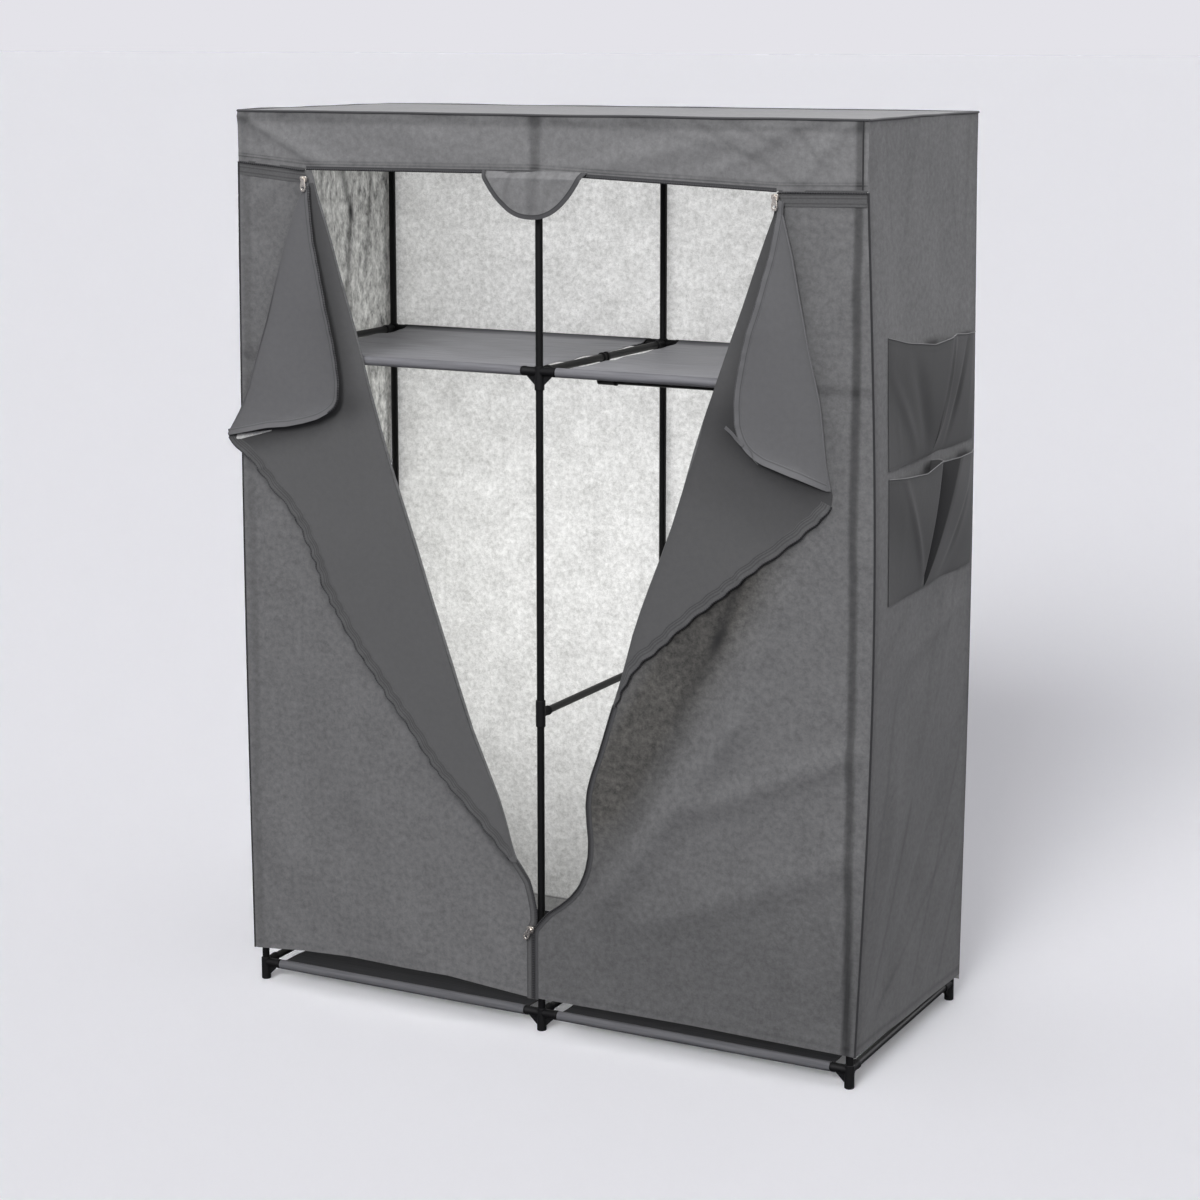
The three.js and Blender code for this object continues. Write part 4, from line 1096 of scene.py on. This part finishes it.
# The tapes, teeth and hems along a layer's free edge
def layerTrims(name):
    layer = doorLayers[name]
    edge = evenly(layer["free"], 4)
    low, high = layer["span"]
    inward = 1 if name in ("flap_left", "corner_right") else -1
    pieces = []
    if "flap" in name:
        edge = edge[(edge[:, 1] > low + 2) & (edge[:, 1] < layer["tapeTop"])]
        edge[:, 0] -= inward * scallop(layer, edge[:, 1])
        lines = [onLayer(name, withinFold(layer, shifted(edge, inward * place), inward))
                 for place in (-2, 17)]
        pieces.append(tapeStrip(f"{name}_tape", *lines, "tape", (8.0, 12.5, 16.0), 0.9))
        teeth = onLayer(name, shifted(edge, inward * (-1 if "left" in name else -2)))
        pieces.append(teethAlong(f"{name}_teeth", teeth + np.array([0, -1.2, 0]), 1.4))
        if "left" in name:
            # a pale strip painted for the backlit inner face under the tip
            lines = [onLayer(name, np.linspace(*ends, 16)) + np.array([0, -0.4, 0])
                     for ends in doorLook["litInnerFace"]]
            pieces.append(tapeStrip(f"{name}_lining", *lines, "back"))
    else:
        whole = edge[(edge[:, 1] > low) & (edge[:, 1] < high - 4)]
        lines = [onLayer(name, shifted(whole, inward * place)) for place in (0, 11)]
        pieces.append(tapeStrip(f"{name}_hem", *lines, "turned", (9.5,), 0.6))
        rim = whole[whole[:, 1] > 1075]
        teeth = onLayer(name, shifted(rim, inward * 0.5))
        radius = 2.2 if "left" in name else 1.3
        pieces.append(teethAlong(f"{name}_teeth", teeth + np.array([0, 0.6, 0]), radius))
        pieces.append(foldRoll(name, layer))
    if name == "corner_right":
        loop = evenly(doorLook["loop"], 3)
        lines = [onLayer(name, shifted(loop, place)) + np.array([0, -2, 0]) for place in (-3, 3)]
        pieces.append(tapeStrip("corner_loop", *lines, "turned", lift=0.8))
        thread = onLayer(name, evenly(doorLook["thread"], 2))
        thread = cordAlong(thread + np.array([0, -1.5, 0]), 0.6)
        pieces.append(makeObject("corner_thread", *thread, materials["tape"]))
    for piece in pieces:
        if "roll" not in piece.name:
            moveWithLayer(name, piece)
    return pieces


# Below its corner the cloth's left edge is a straight line, above it the door's fold
gatherLook = {"left": [(236, 140), (157, 617)], "right": [(424, 140), (441, 1460)], "behind": 4.1}


# Slack cloth behind the right front, drawn out when the door is zipped
def buildGather():
    (_, low), (_, corner) = gatherLook["left"]
    z = heightsBetween(low, gatherLook["right"][1][1], 8)
    left = np.where(z < corner, edgeAt(z, gatherLook["left"]), edgeAt(z, rightFold) + 1)
    right = edgeAt(z, gatherLook["right"])
    x = left[:, None] + (np.maximum(right, left + 2) - left)[:, None] * np.linspace(0, 1, 40)
    grid = np.broadcast_to(z[:, None], x.shape)
    surface = np.stack([x, wardrobe["coverFront"] + gatherLook["behind"] + 0 * x, grid], -1)
    obj = clothSheet("gathered_cloth_right", surface, forward, materials["cover"], flatUv(x, grid))
    dress(obj, "front_right_gather", "grey_nonwoven", "front_right_gather")


# power shapes its outline; it falls forward over its first stretch
stormLook = {
    "half": 100, "seam": 1506, "drop": 80, "power": 2.3, "bind": 8, "bend": 24, "front": -15.2,
    "fall": 13.4, "fallOver": 12,
    "folds": [(8, 1510, -8, 1428, 5, 2.4), (40, 1510, 26, 1436, 7, -1.8), (-45, 1510, -55, 1450, 8, 1.6)],
    "shades": [(-40, 1500, -55, 1450, 5, 0.2), (45, 1500, 22, 1440, 6, 0.15)],
}


# A half-round flap sewn over the zip, with a bound edge
def buildStormFlap():
    look, seam = stormLook, stormLook["seam"]
    x = np.linspace(-look["half"], look["half"], 110)
    foot = seam - look["drop"] * (1 - np.abs(x / look["half"]) ** look["power"])
    z = foot + np.linspace(0, 1, 50)[:, None] * (seam + 0.6 - foot)
    grid = np.broadcast_to(x, z.shape)
    fall = np.clip((seam - z) / look["fallOver"], 0, 1)
    y = look["front"] - look["fall"] * fall * fall * (3 - 2 * fall) \
        + (ripple(grid, z, 51, 90, 0.5) + foldLines(grid, z, look["folds"])) * fall
    surface = np.stack([grid, y, z], -1)
    # Painted shade in a band down the middle and in its creases
    shadeAndSeams = 0.22 * stripe(grid, 2, 12) + foldLines(grid, z, look["shades"])
    obj = clothSheet("storm_flap_cloth", surface, forward, materials["header"], flatUv(grid, z), shadeAndSeams)
    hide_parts("storm_flap")
    rim = evenly(surface[0], 3)
    inner = shifted(rim[:, [0, 2]], -look["bind"])
    inner[:, 1] = np.minimum(inner[:, 1], seam)
    lines = [rim + np.array([0, -0.6, 0]), np.stack([inner[:, 0], rim[:, 1] - 0.6, inner[:, 1]], -1)]
    binding = tapeStrip("storm_flap_binding", *lines, "binding", (6.8,), 0.9)
    for piece in (obj, binding):
        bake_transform(piece)


buildDoors()
buildGather()
buildStormFlap()
print("doors built")

# A slider's body is a wedge with its broad end up; its pull hangs from a bridge in front. Outlines
# are (z, x) points from the slider's top down, and hole is the pull's hole: its z and radius.
sliderLook = {
    "body": [(0, 4.6), (-2, 6.4), (-5, 6.2), (-11, 4.2)],
    "pull": [(-3, 3.0), (-9, 3.8), (-17, 5.3), (-22, 5.4), (-27, 3.2)], "hole": (-20.5, 2.7),
    "bridge": [(-1.5, -1.1), (-1.5, 1.1), (-6.5, 1.1), (-6.5, -1.1)],
    "depth": 4.5, "gap": 1.4, "thickness": 1.3, "hang": 4, "edge": 0.4,
    # how far forward each one lies, and how far its pull hangs to the side in degrees
    "places": {"header_slider_left": (-26, 0), "header_slider_right": (-26, 0), "door_slider": (-22, 28)},
}


# Both halves of an outline that is given as (z, x) points down its right half
def mirrored(half):
    return [*half, *[(z, -x) for z, x in half[::-1]]]


# A plate across Y with a round hole: four loops, two on the outline and two on the hole, joined in a ring
def holedPlate(outline, centre, radius, start, end):
    away = outline - centre
    hole = centre + radius * away / np.linalg.norm(away, axis=1)[:, None]
    points = np.zeros((4, len(outline), 3))
    for k, (loop, y) in enumerate(((outline, start), (outline, end), (hole, end), (hole, start))):
        points[k] = np.stack([loop[:, 1], y + 0 * loop[:, 0], loop[:, 0]], -1)
    faces = gridFaces(5, len(outline), True) % (4 * len(outline))
    return points.reshape(-1, 3), faces if areaRound(outline) > 0 else faces[:, ::-1]


def buildSliders():
    look = sliderLook
    place, radius = look["hole"]
    hang = look["hang"]
    for node, (front, tilt) in look["places"].items():
        low, high = (np.subtract(corner, origin) * 1000 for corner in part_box(node))
        turn, face = math.radians(tilt), front - look["gap"]
        outline = mirrored(look["pull"])
        outline = evenly([*outline, outline[0]], 0.8)[:-1]
        pull, pullFaces = holedPlate(outline, np.array([place, 0.0]), radius, face, face + look["thickness"])
        drop, across = pull[:, 2] + hang, pull[:, 0].copy()
        pull[:, 0] = drop * math.sin(turn) + across * math.cos(turn)
        pull[:, 2] = drop * math.cos(turn) - across * math.sin(turn) - hang
        points, faces = joinParts([
            plate(mirrored(look["body"]), "y", front, front + look["depth"]), (pull, pullFaces),
            plate(look["bridge"], "y", face - 1, front + 0.5)])
        middle = np.array([(low[0] + high[0]) / 2, 0, high[2]])
        obj = makeObject(f"{node}_casting", points + middle, faces, materials["nickel"])
        bevel = obj.modifiers.new("soft edges", "BEVEL")
        bevel.width, bevel.segments = look["edge"] / 1000, 2
        dress(obj, node, "nickel", node)


buildSliders()
print("sliders built")

cameraLook = {"place": (2199, -4016, 1734), "yaw": 27.42, "pitch": 9.33, "lens": 81.67, "shift": -0.1}
# Suns by where they stand (degrees round from the front, degrees up), strength, softness, and
# what they light
sunLook = {"key": (6, 27, 1.7, 22, "front"), "fill": (75, 30, 1.05, 60, "object"),
           "left": (-88, 30, 0.5, 60, "object"), "rear": (165, 30, 1.3, 60, "object"),
           "overhead": (0, 82, 0.3, 40, "floor"), "floor": (8, 20, 1.35, 45, "floor")}
# Soft boxes by place and aim in millimetres, size, watts and what they light: one over the front,
# one inside for the back, and one inside for the left side
boxLook = {
    "top": ((500, -1500, 3300), (0, 200, 1200), (1.4, 1.4), 27, "outside"),
    "inner": ((0, 110, 1120), (0, 490, 1120), (1.15, 1.8), 7.8, "back"),
    "glow": ((-100, 238, 850), (-597, 238, 850), (1.2, 1.2), 9, "inside"),
}
floorLook = {"colour": "#fafaff", "bounce": "#6c6c72", "glow": (0.077, 0.077, 0.077), "size": 200}
worldLook = {"colour": "#e4e3e9", "behind": 1.0, "onObject": 0.3}


def aimLamp(lamp, place, aim):
    lamp.location = toWorld(*place)
    across = np.subtract(aim, place)
    turn = math.atan2(across[1], across[0]) - math.pi / 2
    tilt = math.atan2(across[2], math.hypot(across[0], across[1])) + math.pi / 2
    lamp.rotation_euler = (tilt, 0, turn)


# Painted floor, pale to the eye and greyer in what it throws back on the object. A little glow for
# the camera brings it to the world's own colour, so that no horizon shows.
def floorPaint():
    material, tree, shader = newMaterial("painted floor", Roughness=0.9, Specular_IOR_Level=0.0)
    ray = addNode(tree, "ShaderNodeLightPath").outputs["Is Camera Ray"]
    colour = addNode(tree, "ShaderNodeMix", {
        "Factor": ray, "A": toLinear(floorLook["bounce"]), "B": toLinear(floorLook["colour"])},
        data_type="RGBA")
    tree.links.new(colour.outputs["Result"], shader.inputs["Base Color"])
    shader.inputs["Emission Color"].default_value = [*floorLook["glow"], 1.0]
    tree.links.new(ray, shader.inputs["Emission Strength"])
    return material


# The world is dimmer for the object than it looks behind it
def buildWorld():
    world = bpy.data.worlds.new("studio")
    bpy.context.scene.world = world
    world.use_nodes = True
    tree = world.node_tree
    ray = addNode(tree, "ShaderNodeLightPath")
    shown = ray.outputs["Is Camera Ray"]
    for way in ("Is Glossy Ray", "Is Transmission Ray"):
        either = addNode(tree, "ShaderNodeMath", {0: shown, 1: ray.outputs[way]}, operation="MAXIMUM")
        shown = either.outputs[0]
    strength = addNode(tree, "ShaderNodeMapRange", {
        "Value": shown, "To Min": worldLook["onObject"], "To Max": worldLook["behind"]})
    background = tree.nodes["Background"]
    background.inputs["Color"].default_value = toLinear(worldLook["colour"])
    tree.links.new(strength.outputs["Result"], background.inputs["Strength"])


def buildStage():
    camera = bpy.data.cameras.new("camera")
    camera.lens, camera.sensor_width, camera.shift_y = cameraLook["lens"], 36, cameraLook["shift"]
    camera.clip_end = 1000
    holder = addToScene("camera", camera)
    holder.location = toWorld(*cameraLook["place"])
    holder.rotation_euler = (math.radians(90 - cameraLook["pitch"]), 0, math.radians(cameraLook["yaw"]))
    bpy.context.scene.camera = holder

    mesh = bpy.data.meshes.new("floor")
    size = floorLook["size"]
    corners = [(-size, -size, 0), (size, -size, 0), (size, size, 0), (-size, size, 0)]
    mesh.from_pydata(corners, [], [(0, 1, 2, 3)])
    floor = addToScene("floor", mesh)
    mesh.materials.append(floorPaint())

    backCloth = bpy.data.objects["back_cloth"]
    lit = {name: bpy.data.collections.new(f"lit by {name} lamps")
           for name in ("object", "floor", "inside", "front", "back", "outside")}
    for name, leftOut in (("object", [floor]), ("front", [backCloth]), ("outside", [floor, backCloth])):
        for i, obj in enumerate(leftOut):
            lit[name].objects.link(obj)
            lit[name].collection_objects[i].light_linking.link_state = "EXCLUDE"
    lit["floor"].objects.link(floor)
    lit["inside"].objects.link(bpy.data.objects["side_cloth_left"])
    lit["back"].objects.link(backCloth)
    lamps = []
    for name, (around, up, strength, softness, what) in sunLook.items():
        light = bpy.data.lights.new(name, "SUN")
        light.energy, light.angle = strength, math.radians(softness)
        lamp = addToScene(name, light)
        lamp.rotation_euler = (math.radians(90 - up), 0, math.radians(around))
        lamps.append((lamp, what))
    for name, (place, aim, size, watts, what) in boxLook.items():
        light = bpy.data.lights.new(name, "AREA")
        light.shape = "RECTANGLE"
        light.energy, light.size, light.size_y = watts, *size
        lamp = addToScene(name, light)
        aimLamp(lamp, place, aim)
        lamps.append((lamp, what))
    for lamp, what in lamps:
        lamp.visible_camera = False
        lamp.light_linking.receiver_collection = lit[what]
        if what == "back":
            lamp.light_linking.blocker_collection = lit[what]
    bpy.context.scene.view_settings.view_transform = "Standard"


buildStage()
buildWorld()
print("camera, light and floor set")
